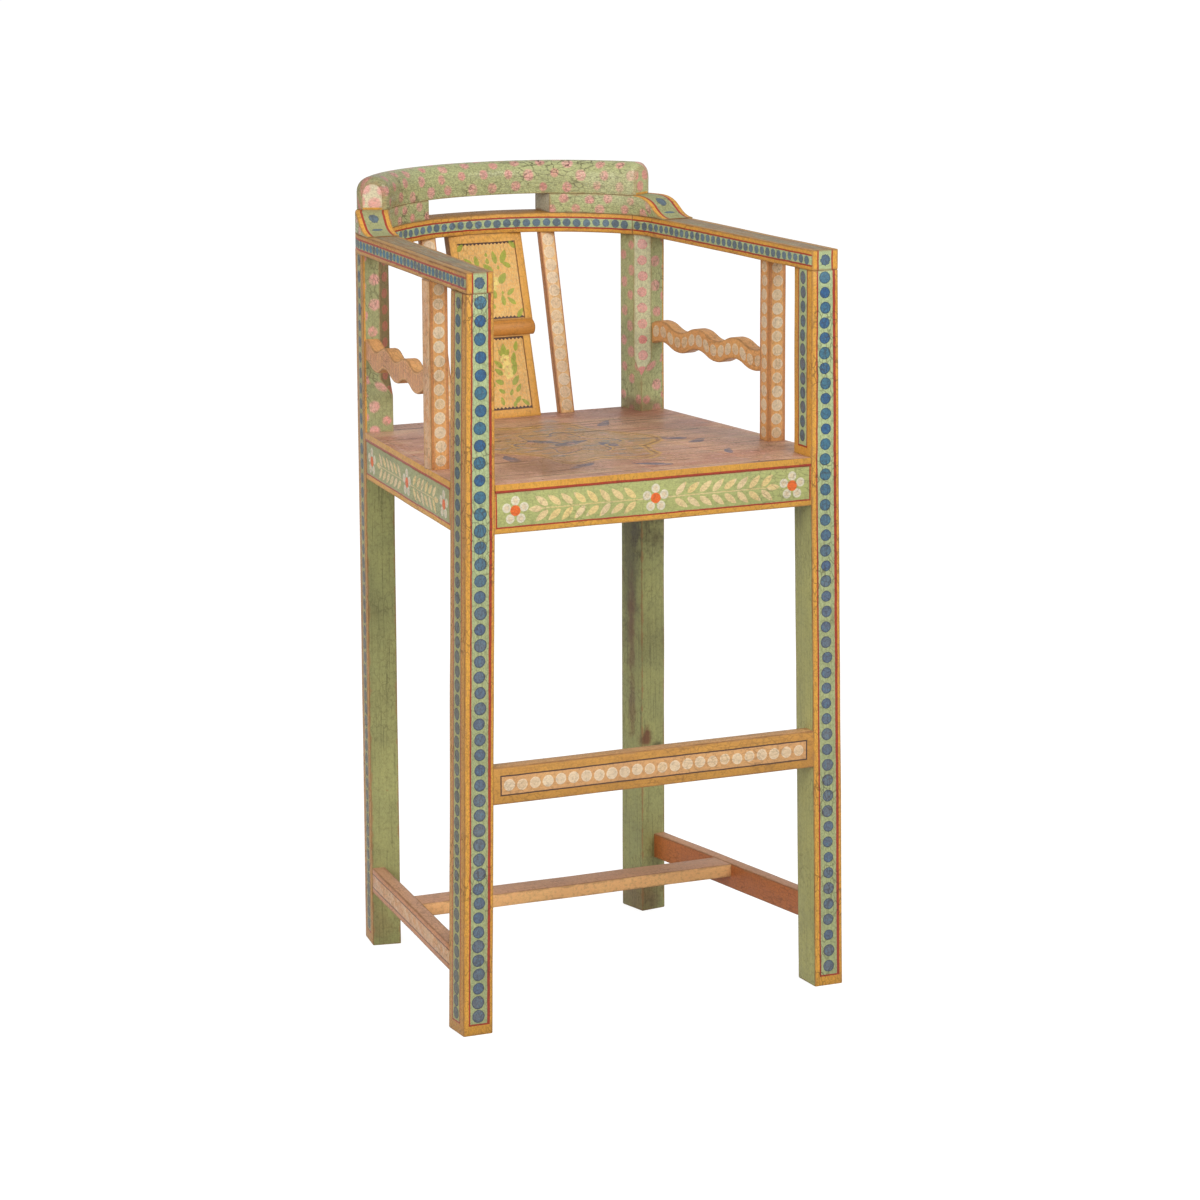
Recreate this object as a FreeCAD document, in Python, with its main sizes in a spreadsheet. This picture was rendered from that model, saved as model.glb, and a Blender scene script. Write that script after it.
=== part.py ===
"""A tall painted armchair of hardwood, built in place, piece by piece, with mortise and tenon joints.

Millimetres and degrees. +X is the sitter's left, to the right of someone who faces the chair, +Y is
towards the back and +Z is up. The origin is on the floor, in the middle of the chair's overall
width and depth. Left and right in the pieces' names are those of someone who faces the chair.
A share is a part of the height between the seat and the arms, or of a panel's height.
"""
import FreeCAD, Part
import math
import os

import Sketcher

# Driving sizes
SIZES = {
    # seat frame
    "seat_height": 700,
    "seat_thickness": 10,
    "rail_height": 52,
    "rail_thickness": 22,
    "side_length": 379,
    # front legs, which run up to the arms
    "front_width": 510,
    "front_splay": 14,
    "front_leg_width": 40,
    "front_leg_depth": 48,
    # back legs, turned a little towards the front legs
    "back_width": 436,
    "back_leg_width": 38,
    "back_leg_depth": 48,
    "back_leg_turn": 10,
    "chamfer_width": 16,
    "chamfer_rise": 70,
    "tongue_length": 22,
    # arms and the bow that joins them
    "arm_height": 964,
    "arm_thickness": 26,
    "arm_front_width": 37,
    "bow_width": 44,
    "bow_overhang": 100,
    "bow_corner_radius": 130,
    "bow_angle": 48,
    # crest on its two risers
    "riser_height": 26,
    "slot_angle": 24,
    "crest_turn": 14,
    "crest_height": 43,
    "crest_round": 20,
    "ramp_run": 70,
    "ramp_lip": 1.5,
    # footrest and stretchers
    "footrest_top": 343,
    "footrest_height": 48,
    "footrest_thickness": 22,
    "stretcher_top": 108,
    "stretcher_height": 34,
    "stretcher_thickness": 18,
    "cross_thickness": 18,
    "cross_width": 42,
    "cross_place": 209,
    # arm supports and wavy side rails
    "support_width": 25,
    "support_depth": 25,
    "support_place": 94.5,
    "wavy_share": 0.441,
    "wavy_height": 28,
    "wavy_thickness": 18,
    "wavy_inset": 11,
    "wave_depth": 5,
    "wavy_tenon_length": 8,
    "wavy_tenon_height": 14,
    # splat and slats, raked backwards
    "splat_upper_width": 106,
    "splat_lower_width": 92,
    "splat_thickness": 16,
    "splat_foot_tenon_width": 60,
    "splat_top_tenon_width": 70,
    "splat_frame": 11,
    "frame_share": 0.1,
    "field_depth": 1.5,
    "field_lip": 1,
    "moulding_share": 0.441,
    "moulding_height": 21,
    "moulding_width": 108,
    "moulding_bulge": 5.4,
    "slat_width": 22,
    "slat_thickness": 11,
    "slat_spread": 87,
    "slat_set_back": 6,
    "slat_foot_edge": 1,
    # joints
    "tenon_length": 20,
    "tenon_thickness": 10,
    "tenon_shoulder": 8,
    "post_tenon_width": 16,
    "post_tenon_depth": 22,
    "top_tenon_height": 16,
    "foot_tenon_depth": 14,
    "slim_tenon": 8,
    "cross_tenon_length": 10,
    "cross_tenon_shoulder": 4,
    "fit": 0.2,
    "tenon_room": 0.6,
    # nails, dowels and pins
    "nail_diameter": 3,
    "nail_length": 32,
    "front_nail_spread": 150,
    "back_nail_spread": 130,
    "side_nail_first": 190,
    "side_nail_second": 310,
    "dowel_diameter": 8,
    "dowel_depth": 13,
    "dowel_from_slot": 8,
    "dowel_past_bow": 5,
    "ramp_dowel_turn": 12,
    "ramp_dowel_rise": 10,
    "pin_diameter": 2.5,
    "pin_length": 15,
    "pin_spread": 38,
}
WAVES = 3
# How much of its first half wave, a crest, each wavy rail lacks at the support, in half waves
WAVE_SHIFT = {"left": 0.5, "right": 1.0}
SIDES = {"left": -1, "right": 1}
# How far a cutting outline reaches past the face that it cuts
OVERCUT = 5

doc = FreeCAD.newDocument("painted_chair")
sheet = doc.addObject("Spreadsheet::Sheet", "dims")
for row, (alias, size) in enumerate(SIZES.items(), start=1):
    sheet.set(f"A{row}", alias.replace("_", " "))
    sheet.set(f"B{row}", str(size))
    sheet.setAlias(f"B{row}", alias)
layout = doc.addObject("App::VarSet", "layout")
doc.recompute()


class Term:
    """A length or an angle, kept as an expression on the sheet's cells."""

    def __init__(self, text):
        self.text = str(text)

    def __str__(self):
        return self.text

    def __add__(self, other):
        return Term(f"({self} + {other})")

    def __radd__(self, other):
        return Term(f"({other} + {self})")

    def __sub__(self, other):
        return Term(f"({self} - {other})")

    def __rsub__(self, other):
        return Term(f"({other} - {self})")

    def __mul__(self, other):
        return Term(f"({self} * {other})")

    def __rmul__(self, other):
        return Term(f"({other} * {self})")

    def __truediv__(self, other):
        return Term(f"({self} / {other})")

    def __neg__(self):
        return Term(f"(0 - {self})")


def function(name, *arguments):
    """An expression that calls one of the expression engine's functions."""
    return Term(f"{name}({'; '.join(str(argument) for argument in arguments)})")


def sine(angle):
    return function("sin", angle)


def cosine(angle):
    return function("cos", angle)


def tangent(angle):
    return function("tan", angle)


def root(square):
    return function("sqrt", square)


def arc_tangent(ratio):
    """The angle whose tangent is a ratio, as a plain number of degrees."""
    return Term(f"(atan({ratio}) / 1 deg)")


def arc_cosine(ratio):
    """The angle whose cosine is a ratio, as a plain number of degrees."""
    return Term(f"(acos({ratio}) / 1 deg)")


def value(term):
    """The number that an expression has now."""
    return float(sheet.evalExpression(str(term)))


def place(name, term):
    """Keeps a worked-out place or angle under a name of its own."""
    layout.addProperty("App::PropertyFloat", name, "places")
    layout.setExpression(name, str(term))
    doc.recompute([layout])
    return Term(f"layout.{name}")


D = {alias: Term(f"dims.{alias}") for alias in SIZES}

# Levels
rail_top = D["seat_height"] - D["seat_thickness"]
rail_bottom = rail_top - D["rail_height"]
rail_middle = rail_top - D["rail_height"] / 2
arm_under = D["arm_height"] - D["arm_thickness"]
footrest_middle = D["footrest_top"] - D["footrest_height"] / 2
stretcher_middle = D["stretcher_top"] - D["stretcher_height"] / 2
back_rise = arm_under - D["seat_height"]
wavy_level = D["seat_height"] + D["wavy_share"] * back_rise
crest_bottom = D["arm_height"] + D["riser_height"]


def leg_outer(level):
    """The outer face of a front leg, which splays outwards towards the floor."""
    return D["front_width"] / 2 + D["front_splay"] * (1 - level / arm_under)


def leg_inner(level):
    """The inner face of a front leg, up to the seat."""
    return leg_outer(level) - D["front_leg_width"]


# Plan
turn = D["back_leg_turn"]
half_depth = place("half_depth", (
    D["front_leg_depth"] + D["side_length"] + D["back_leg_depth"] * cosine(turn) + D["bow_overhang"]) / 2)
front_y = place("front_y", -half_depth)
leg_back_y = place("leg_back_y", front_y + D["front_leg_depth"])
back_leg_y = place("back_leg_y", leg_back_y + D["side_length"])
back_edge_y = place("back_edge_y", (
    back_leg_y - D["back_leg_width"] * sine(turn) + D["back_leg_depth"] * cosine(turn)))
support_y = place("support_y", leg_back_y + D["support_place"])
cross_y = place("cross_y", leg_back_y + D["cross_place"])


def back_leg_point(side, across, along):
    """A point of a back leg's plan, from its outer front corner: across inwards, along backwards."""
    x = D["back_width"] / 2 - across * cosine(turn) - along * sine(turn)
    y = back_leg_y - across * sine(turn) + along * cosine(turn)
    return side * x, y


def back_leg_inner(y):
    """The inner face of a back leg at a depth."""
    face = D["back_width"] / 2 - D["back_leg_width"] * cosine(turn)
    return face - (y - back_leg_y + D["back_leg_width"] * sine(turn)) * tangent(turn)


def side_outer(level, y):
    """The outer face of a side member, which runs from the front leg to the back leg."""
    front = leg_outer(level)
    return front + (D["back_width"] / 2 - front) * (y - leg_back_y) / D["side_length"]


# The bow's middle line: a main arc, and a corner arc that passes over the middle of the back leg
post_x, post_y = back_leg_point(1, D["back_leg_width"] / 2, D["back_leg_depth"] / 2)
post_x = place("post_x", post_x)
post_y = place("post_y", post_y)
bow_back_y = half_depth - D["bow_width"] / 2
behind = place("bow_behind_post", bow_back_y - post_y)
drop = place("bow_drop", 1 - cosine(D["bow_angle"]))
reach = place("bow_reach", post_x * sine(D["bow_angle"]) - (D["bow_corner_radius"] - behind) * drop)
rest = place("bow_rest", post_x * post_x + behind * behind - 2 * D["bow_corner_radius"] * behind)
step = place("bow_step", (reach - root(reach * reach - 2 * drop * rest)) / (2 * drop))
bow_radius = place("bow_radius", D["bow_corner_radius"] + step)
bow_centre_y = place("bow_centre_y", bow_back_y - bow_radius)
corner_x = place("corner_x", step * sine(D["bow_angle"]))
corner_y = place("corner_y", bow_centre_y + step * cosine(D["bow_angle"]))

# The arm's middle line leaves the corner arc where it points at the front leg
arm_front_x = D["front_width"] / 2 - D["arm_front_width"] / 2
arm_run = place("arm_run", corner_y - front_y)
arm_shift = place("arm_shift", arm_front_x - corner_x)
arm_angle = place("arm_angle", (
    90 + arc_tangent(arm_run / arm_shift)
    - arc_cosine(D["bow_corner_radius"] / root(arm_run * arm_run + arm_shift * arm_shift))))
joint_angle = place("joint_angle", arc_tangent((post_x - corner_x) / (post_y - corner_y)))
crest_angle = place("crest_angle", D["bow_angle"] + D["crest_turn"])

# The ramps start at the crest's inner corners and run along the arms
ramp_start = place("ramp_start", (
    (D["bow_width"] / 2 - D["bow_corner_radius"]) * sine(arm_angle - crest_angle)))
ramp_foot = place("ramp_foot", ramp_start + D["ramp_run"])

INNER = -D["bow_width"] / 2
MIDDLE = Term(0)
OUTER = D["bow_width"] / 2


def main_point(offset, angle):
    """A point of the bow's main arc, at an angle from the middle of the back."""
    radius = bow_radius + offset
    return radius * sine(angle), bow_centre_y + radius * cosine(angle)


def corner_point(offset, angle):
    """A point of the bow's corner arc, at an angle from the middle of the back."""
    radius = D["bow_corner_radius"] + offset
    return corner_x + radius * sine(angle), corner_y + radius * cosine(angle)


class Corner:
    """A corner of an outline, and the arc of the edge that leaves it, if it is one."""

    def __init__(self, x, y, radius=None, hollow=False):
        self.x = x
        self.y = y
        self.radius = radius
        self.hollow = hollow


def mirrored(corners):
    """The same outline on the other side of the first axis, still counter-clockwise."""
    flipped = []
    for index in range(len(corners) - 1, -1, -1):
        before = corners[index - 1]
        flipped.append(Corner(-corners[index].x, corners[index].y, before.radius, before.hollow))
    return flipped


def on_side(side, corners):
    """An outline written for the right side, on the side that is asked for."""
    return corners if side > 0 else mirrored(corners)


def polygon(*points):
    return [Corner(x, y) for x, y in points]


def rectangle(x0, x1, y0, y1):
    return polygon((x0, y0), (x1, y0), (x1, y1), (x0, y1))


def bind(thing, path, term):
    thing.setExpression(path, str(term))


def new_body(label):
    body = doc.addObject("PartDesign::Body", label)
    body.Label = label
    return body


def new_sketch(body, plane, level):
    """An empty sketch on one of the body's own planes, moved along its normal."""
    planes = {feature.Role: feature for feature in body.Origin.OriginFeatures}
    sketch = body.newObject("Sketcher::SketchObject", f"{body.Name}_sketch")
    sketch.AttachmentSupport = (planes[f"{plane}_Plane"], [""])
    sketch.MapMode = "FlatFace"
    bind(sketch, "AttachmentOffset.Base.z", level)
    return sketch


def edge_of(start, end, radius, hollow):
    """A line or an arc between two points, and which of its ends comes first."""
    if radius is None:
        return Part.LineSegment(start, end), 1, 2
    chord = end - start
    normal = FreeCAD.Vector(-chord.y, chord.x, 0).normalize()
    height = math.sqrt(radius * radius - chord.Length * chord.Length / 4)
    centre = (start + end) * 0.5 + normal * (-height if hollow else height)
    circle = Part.Circle(centre, FreeCAD.Vector(0, 0, 1), radius)
    first = math.atan2(start.y - centre.y, start.x - centre.x)
    last = math.atan2(end.y - centre.y, end.x - centre.x)
    if hollow:
        return Part.ArcOfCircle(circle, last, first), 2, 1
    return Part.ArcOfCircle(circle, first, last), 1, 2


def hold(sketch, constraints):
    """Adds constraints with their bound sizes, where they have one, in one go."""
    numbers = sketch.addConstraint([constraint for constraint, _ in constraints])
    for number, (_, term) in zip(numbers, constraints):
        if term is not None:
            bind(sketch, f"Constraints[{number}]", term)


def point_held(index, position, x, y):
    """Constraints that hold a point at two bound distances from the sketch's origin."""
    return [(Sketcher.Constraint(kind, -1, 1, index, position, value(term)), term)
            for kind, term in (("DistanceX", x), ("DistanceY", y))]


def outline(body, plane, level, corners):
    """A closed sketch through the corners, each held by bound distances."""
    sketch = new_sketch(body, plane, level)
    points = [FreeCAD.Vector(value(corner.x), value(corner.y), 0) for corner in corners]
    ends = []
    for index, corner in enumerate(corners):
        radius = None if corner.radius is None else value(corner.radius)
        following = points[(index + 1) % len(points)]
        edge, first, last = edge_of(points[index], following, radius, corner.hollow)
        sketch.addGeometry(edge, False)
        ends.append((first, last))
    constraints = []
    for index, corner in enumerate(corners):
        following = (index + 1) % len(corners)
        meeting = Sketcher.Constraint(
            "Coincident", index, ends[index][1], following, ends[following][0])
        constraints.append((meeting, None))
        constraints += point_held(index, ends[index][0], corner.x, corner.y)
        if corner.radius is not None:
            rounding = Sketcher.Constraint("Radius", index, value(corner.radius))
            constraints.append((rounding, corner.radius))
    hold(sketch, constraints)
    return sketch


def pad(body, plane, level, height, corners):
    """Adds a block: an outline on a plane, at a level, drawn out by a height."""
    sketch = outline(body, plane, level, corners)
    feature = body.newObject("PartDesign::Pad", f"{body.Name}_pad")
    feature.Profile = sketch
    bind(feature, "Length", height)
    doc.recompute([body])
    return feature


def finish_cut(body, feature, before):
    doc.recompute([body])
    if body.Shape.isNull() or not body.Shape.Volume < before - 0.01:
        raise RuntimeError(f"{feature.Label} cuts nothing from {body.Label}")


def cut(body, plane, level, depth, corners, turned=None):
    """Takes a block away, from a level against the plane's normal."""
    before = body.Shape.Volume
    sketch = outline(body, plane, level, corners)
    if turned is not None:
        x, angle = turned
        sketch.AttachmentOffset = FreeCAD.Placement(
            FreeCAD.Vector(), FreeCAD.Rotation(FreeCAD.Vector(0, 1, 0), 1))
        bind(sketch, "AttachmentOffset.Base.x", x)
        bind(sketch, "AttachmentOffset.Rotation.Angle", angle)
    feature = body.newObject("PartDesign::Pocket", f"{body.Name}_pocket")
    feature.Profile = sketch
    bind(feature, "Length", depth)
    finish_cut(body, feature, before)


def drill(body, plane, level, depth, x, y, diameter):
    """A round hole, from a level against the plane's normal."""
    before = body.Shape.Volume
    sketch = new_sketch(body, plane, level)
    centre = FreeCAD.Vector(value(x), value(y), 0)
    sketch.addGeometry(Part.Circle(centre, FreeCAD.Vector(0, 0, 1), value(diameter) / 2), False)
    width = Sketcher.Constraint("Diameter", 0, value(diameter))
    hold(sketch, point_held(0, 3, x, y) + [(width, diameter)])
    feature = body.newObject("PartDesign::Pocket", f"{body.Name}_hole")
    feature.Profile = sketch
    bind(feature, "Length", depth)
    finish_cut(body, feature, before)


def mortise(body, bottom, height, corners):
    """A level-walled mortise between two levels, as loose as the fit above and below."""
    cut(body, "XY", bottom + height + D["fit"], height + 2 * D["fit"], corners)


def centred(width, thickness, slack=0):
    """The two edges of a tenon in the middle of a member's thickness, with slack on each side."""
    return (thickness - width) / 2 - slack, (thickness + width) / 2 + slack


# Heights of the tenons on the level members
rail_tenon_bottom = rail_bottom + D["tenon_shoulder"]
rail_tenon_height = D["rail_height"] - 2 * D["tenon_shoulder"]
footrest_bottom = D["footrest_top"] - D["footrest_height"]
footrest_tenon_bottom = footrest_bottom + D["tenon_shoulder"]
footrest_tenon_height = D["footrest_height"] - 2 * D["tenon_shoulder"]
stretcher_bottom = D["stretcher_top"] - D["stretcher_height"]
stretcher_tenon_bottom = stretcher_bottom + D["tenon_shoulder"]
stretcher_tenon_height = D["stretcher_height"] - 2 * D["tenon_shoulder"]
cross_bottom = D["stretcher_top"] - D["cross_thickness"]
cross_tenon_bottom = cross_bottom + D["cross_tenon_shoulder"]
cross_tenon_height = D["cross_thickness"] - 2 * D["cross_tenon_shoulder"]
wavy_tenon_bottom = wavy_level - D["wavy_tenon_height"] / 2


def front_tenon(side, middle, thickness, slack, room):
    """Plan of the tenon from a front member into a front leg's inner face."""
    near, far = centred(D["tenon_thickness"], thickness, slack)
    start = leg_inner(middle) - OVERCUT
    end = leg_inner(middle) + D["tenon_length"] + room
    return on_side(side, rectangle(start, end, front_y + near, front_y + far))


def side_tenon_front(side, middle, thickness, slack, room):
    """Plan of the tenon from a side member into a front leg's back face."""
    near, far = centred(D["tenon_thickness"], thickness, slack)
    outer = leg_outer(middle)
    end = leg_back_y - D["tenon_length"] - room
    return on_side(side, rectangle(outer - far, outer - near, end, leg_back_y + OVERCUT))


def leg_rectangle(side, near, far, start, end):
    """A rectangle in a back leg's own directions: across from near to far, along from start to end."""
    return polygon(*(back_leg_point(side, across, along) for across, along in (
        (near, start), (far, start), (far, end), (near, end))))


def side_tenon_back(side, thickness, slack, room):
    """Plan of the tenon from a side member into a back leg's front face."""
    near, far = centred(D["tenon_thickness"], thickness, slack)
    return leg_rectangle(side, near, far, Term(-OVERCUT), D["tenon_length"] + room)


def back_tenon(side, slack, room):
    """Plan of the tenon from the back rail into a back leg's inner face."""
    near, far = centred(D["tenon_thickness"], D["rail_thickness"], slack)
    face = back_leg_inner(back_edge_y - D["rail_thickness"] / 2)
    return on_side(side, rectangle(
        face - 2 * OVERCUT, face + D["tenon_length"] + room, back_edge_y - far, back_edge_y - near))


def post_tenon(side, slack):
    """Plan of the tenon on top of a back leg, which holds both the arm and the bow."""
    near, far = centred(D["post_tenon_width"], D["back_leg_width"], slack)
    start, end = centred(D["post_tenon_depth"], D["back_leg_depth"], slack)
    return leg_rectangle(side, near, far, start, end)


def arm_tenon(side, slack):
    """Plan of the tenon on top of a front leg."""
    near, far = centred(D["post_tenon_width"], D["arm_front_width"], slack)
    start, end = centred(D["post_tenon_depth"], D["front_leg_depth"], slack)
    outer = D["front_width"] / 2
    return on_side(side, rectangle(outer - far, outer - near, front_y + start, front_y + end))


support_x = place("support_x", side_outer(rail_middle, support_y) - D["support_width"] / 2)


def support_plan(side, width, depth, slack=0):
    """A rectangle round the middle of an arm support."""
    x = width / 2 + slack
    y = depth / 2 + slack
    return on_side(side, rectangle(support_x - x, support_x + x, support_y - y, support_y + y))


def support_tenon(side, slack):
    return support_plan(side, D["tenon_thickness"], D["support_depth"] * 0.64, slack)


support_back_y = support_y + D["support_depth"] / 2
half_wave = place("half_wave", (back_leg_y - support_back_y) / (2 * WAVES))


def wavy_tenon_back(side, slack, room):
    """Plan of the tenon from a wavy rail into a back leg."""
    half = D["slim_tenon"] / 2 + slack
    near = D["wavy_inset"] - half
    far = D["wavy_inset"] + half
    return leg_rectangle(side, near, far, Term(-OVERCUT), D["wavy_tenon_length"] + room)


def wavy_tenon_front(side, slack, room):
    """Plan of the tenon from a wavy rail into an arm support."""
    half = D["slim_tenon"] / 2 + slack
    end = support_back_y - D["wavy_tenon_length"] - room
    return on_side(side, rectangle(support_x - half, support_x + half, end, support_back_y + OVERCUT))


def cross_tenon(side, slack, room):
    """Plan of the tenon from the cross stretcher into a side stretcher."""
    half = D["cross_width"] / 2 - D["cross_tenon_shoulder"] + slack
    face = side_outer(stretcher_middle, cross_y) - D["stretcher_thickness"]
    return on_side(side, rectangle(
        face - 2 * OVERCUT, face + D["cross_tenon_length"] + room, cross_y - half, cross_y + half))


# Splat and slats: their front faces run from the seat's back edge up to the bow
class Upright:
    """A raked member of the back, seen from its side."""

    def __init__(self, name, thickness, spread):
        self.thickness = thickness
        edge = bow_radius + INNER
        self.foot = place(f"{name}_foot_y", back_edge_y - D["slat_foot_edge"] - thickness)
        self.head = place(f"{name}_head_y", (
            bow_centre_y + root(edge * edge - spread * spread) + D["slat_set_back"]))

    def front(self, level):
        """The front face at a level."""
        return self.foot + (self.head - self.foot) * (level - D["seat_height"]) / back_rise

    def slice(self, low, high, front=0, back=None):
        """The side view between two levels, from front to back behind the front face."""
        back = self.thickness if back is None else back
        return polygon(
            (self.front(low) + front, low), (self.front(low) + back, low),
            (self.front(high) + back, high), (self.front(high) + front, high))

    def foot_tenon(self, slack=0):
        near, far = centred(D["slim_tenon"], self.thickness, slack)
        return self.foot + near, self.foot + far

    def head_tenon(self, slack=0):
        near, far = centred(D["slim_tenon"], self.thickness, slack)
        return self.head + near, self.head + far


slat = Upright("slat", D["slat_thickness"], D["slat_spread"])
splat = Upright("splat", D["splat_thickness"], D["splat_upper_width"] / 2)
foot_tenon_bottom = rail_top - D["foot_tenon_depth"]


def slot_for(body, tops, x0, x1, y_edges, depth):
    """A mortise cut downwards from a level."""
    cut(body, "XY", tops, depth, rectangle(x0, x1, *y_edges))


def upright_places():
    """Each upright with its left and right edges, those of its foot tenon and of its head tenon."""
    half = D["slat_width"] / 2
    foot = D["splat_foot_tenon_width"] / 2
    head = D["splat_top_tenon_width"] / 2
    yield splat, (-foot, foot), (-head, head)
    for side in SIDES.values():
        edges = (side * D["slat_spread"] - half, side * D["slat_spread"] + half)
        yield slat, edges, edges


def foot_mortises(body, top, depth):
    """Mortises for the feet of the splat and the slats."""
    for upright, (x0, x1), _ in upright_places():
        slot_for(body, top, x0 - D["fit"], x1 + D["fit"], upright.foot_tenon(D["fit"]), depth)


# Nails through the seat board into the rails
def nail_places():
    """The nails' places, by the rail that each one enters."""
    front = front_y + D["rail_thickness"] / 2
    back = back_edge_y - D["rail_thickness"] / 2
    places = {
        "front_rail": [(side * D["front_nail_spread"], front) for side in SIDES.values()],
        "back_rail": [(side * D["back_nail_spread"], back) for side in SIDES.values()],
    }
    places["front_rail"].append((Term(0), front))
    for name, side in SIDES.items():
        lines = [leg_back_y + D["side_nail_first"], leg_back_y + D["side_nail_second"]]
        places[f"side_rail_{name}"] = [
            (side * (side_outer(rail_middle, y) - D["rail_thickness"] / 2), y) for y in lines]
    return places


NAILS = nail_places()
nail_hole = D["nail_diameter"] + 2 * D["fit"]


def nail_holes(body, name):
    """The holes in a rail for the seat's nails."""
    depth = D["nail_length"] - D["seat_thickness"] + D["tenon_room"]
    for x, y in NAILS[name]:
        drill(body, "XY", rail_top, depth, x, y, nail_hole)


# Dowels through the risers
def dowel_places(side):
    """Places of the dowels that hold the crest roll, its riser and the bow together."""
    inner = main_point(MIDDLE, D["slot_angle"] + D["dowel_from_slot"])
    outer = corner_point(MIDDLE, D["bow_angle"] + D["dowel_past_bow"])
    return [(side * x, y) for x, y in (inner, outer)]


def ramp_dowel(side):
    """Place of the dowel that holds a riser's ramp down on the arm."""
    x, y = corner_point(MIDDLE, crest_angle + D["ramp_dowel_turn"])
    return side * x, y


dowel_hole = D["dowel_diameter"] + 2 * D["fit"]
dowel_bore = D["dowel_depth"] + D["tenon_room"]


def make_front_leg(name, side):
    body = new_body(f"front_leg_{name}")
    zero = Term(0)
    pad(body, "XZ", -leg_back_y, D["front_leg_depth"], on_side(side, polygon(
        (leg_inner(zero), zero), (leg_outer(zero), zero),
        (D["front_width"] / 2, arm_under), (D["front_width"] / 2 - D["arm_front_width"], arm_under),
        (leg_inner(D["seat_height"]), D["seat_height"]))))
    pad(body, "XY", arm_under, D["top_tenon_height"], arm_tenon(side, 0))
    slack, room = D["fit"], D["tenon_room"]
    mortise(body, rail_tenon_bottom, rail_tenon_height,
            front_tenon(side, rail_middle, D["rail_thickness"], slack, room))
    mortise(body, footrest_tenon_bottom, footrest_tenon_height,
            front_tenon(side, footrest_middle, D["footrest_thickness"], slack, room))
    mortise(body, rail_tenon_bottom, rail_tenon_height,
            side_tenon_front(side, rail_middle, D["rail_thickness"], slack, room))
    mortise(body, stretcher_tenon_bottom, stretcher_tenon_height,
            side_tenon_front(side, stretcher_middle, D["stretcher_thickness"], slack, room))
    return body


def chamfer_plan(side, width):
    """The corner that a chamfer of some width takes off a back leg, inside and in front."""
    edge = D["back_leg_width"]
    return polygon(*(back_leg_point(side, across, along) for across, along in (
        (edge - width - OVERCUT, Term(-OVERCUT)), (edge + OVERCUT, width + OVERCUT),
        (edge + OVERCUT, Term(-OVERCUT)))))


def make_back_leg(name, side):
    body = new_body(f"back_leg_{name}")
    pad(body, "XY", Term(0), arm_under, leg_rectangle(
        side, Term(0), D["back_leg_width"], Term(0), D["back_leg_depth"]))
    stop = D["seat_height"] + D["chamfer_rise"]
    cut(body, "XY", arm_under, arm_under - stop, chamfer_plan(side, D["chamfer_width"]))
    before = body.Shape.Volume
    start = outline(body, "XY", stop, chamfer_plan(side, D["chamfer_width"]))
    tip = outline(body, "XY", stop - D["tongue_length"], chamfer_plan(side, Term(0)))
    tongue = body.newObject("PartDesign::SubtractiveLoft", f"{body.Name}_tongue")
    tongue.Profile = start
    tongue.Sections = [tip]
    tongue.Ruled = True
    finish_cut(body, tongue, before)
    pad(body, "XY", arm_under, D["top_tenon_height"], post_tenon(side, 0))
    slack, room = D["fit"], D["tenon_room"]
    mortise(body, rail_tenon_bottom, rail_tenon_height,
            side_tenon_back(side, D["rail_thickness"], slack, room))
    mortise(body, stretcher_tenon_bottom, stretcher_tenon_height,
            side_tenon_back(side, D["stretcher_thickness"], slack, room))
    mortise(body, rail_tenon_bottom, rail_tenon_height, back_tenon(side, slack, room))
    mortise(body, wavy_tenon_bottom, D["wavy_tenon_height"], wavy_tenon_back(side, slack, room))
    return body


def make_front_member(label, bottom, top, thickness):
    """A level member between the front legs, flush with their front faces."""
    body = new_body(label)
    middle = (bottom + top) / 2
    pad(body, "XZ", -(front_y + thickness), thickness, polygon(
        (-leg_inner(bottom), bottom), (leg_inner(bottom), bottom),
        (leg_inner(top), top), (-leg_inner(top), top)))
    height = top - bottom - 2 * D["tenon_shoulder"]
    for side in SIDES.values():
        pad(body, "XY", bottom + D["tenon_shoulder"], height,
            front_tenon(side, middle, thickness, 0, 0))
    return body


def make_side_member(label, side, bottom, top, thickness):
    """A level member from a front leg to a back leg, flush with their outer faces."""
    body = new_body(label)
    middle = (bottom + top) / 2
    outer = leg_outer(middle)
    pad(body, "XY", bottom, top - bottom, polygon(
        (side * outer, leg_back_y), back_leg_point(side, Term(0), Term(0)),
        back_leg_point(side, thickness, Term(0)), (side * (outer - thickness), leg_back_y)))
    height = top - bottom - 2 * D["tenon_shoulder"]
    for plan in (side_tenon_front(side, middle, thickness, 0, 0),
                 side_tenon_back(side, thickness, 0, 0)):
        pad(body, "XY", bottom + D["tenon_shoulder"], height, plan)
    return body


def make_front_rail():
    body = make_front_member("front_rail", rail_bottom, rail_top, D["rail_thickness"])
    nail_holes(body, "front_rail")
    return body


def make_footrest():
    return make_front_member(
        "footrest", footrest_bottom, D["footrest_top"], D["footrest_thickness"])


def make_side_rail(name, side):
    label = f"side_rail_{name}"
    body = make_side_member(label, side, rail_bottom, rail_top, D["rail_thickness"])
    cut(body, "XY", rail_top, D["foot_tenon_depth"] + D["tenon_room"], support_tenon(side, D["fit"]))
    nail_holes(body, label)
    return body


def make_back_rail():
    body = new_body("back_rail")
    fore = back_edge_y - D["rail_thickness"]
    pad(body, "XY", rail_bottom, D["rail_height"], polygon(
        (-back_leg_inner(fore), fore), (back_leg_inner(fore), fore),
        (back_leg_inner(back_edge_y), back_edge_y), (-back_leg_inner(back_edge_y), back_edge_y)))
    for side in SIDES.values():
        pad(body, "XY", rail_tenon_bottom, rail_tenon_height, back_tenon(side, 0, 0))
    foot_mortises(body, rail_top, D["foot_tenon_depth"] + D["tenon_room"])
    nail_holes(body, "back_rail")
    return body


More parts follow.
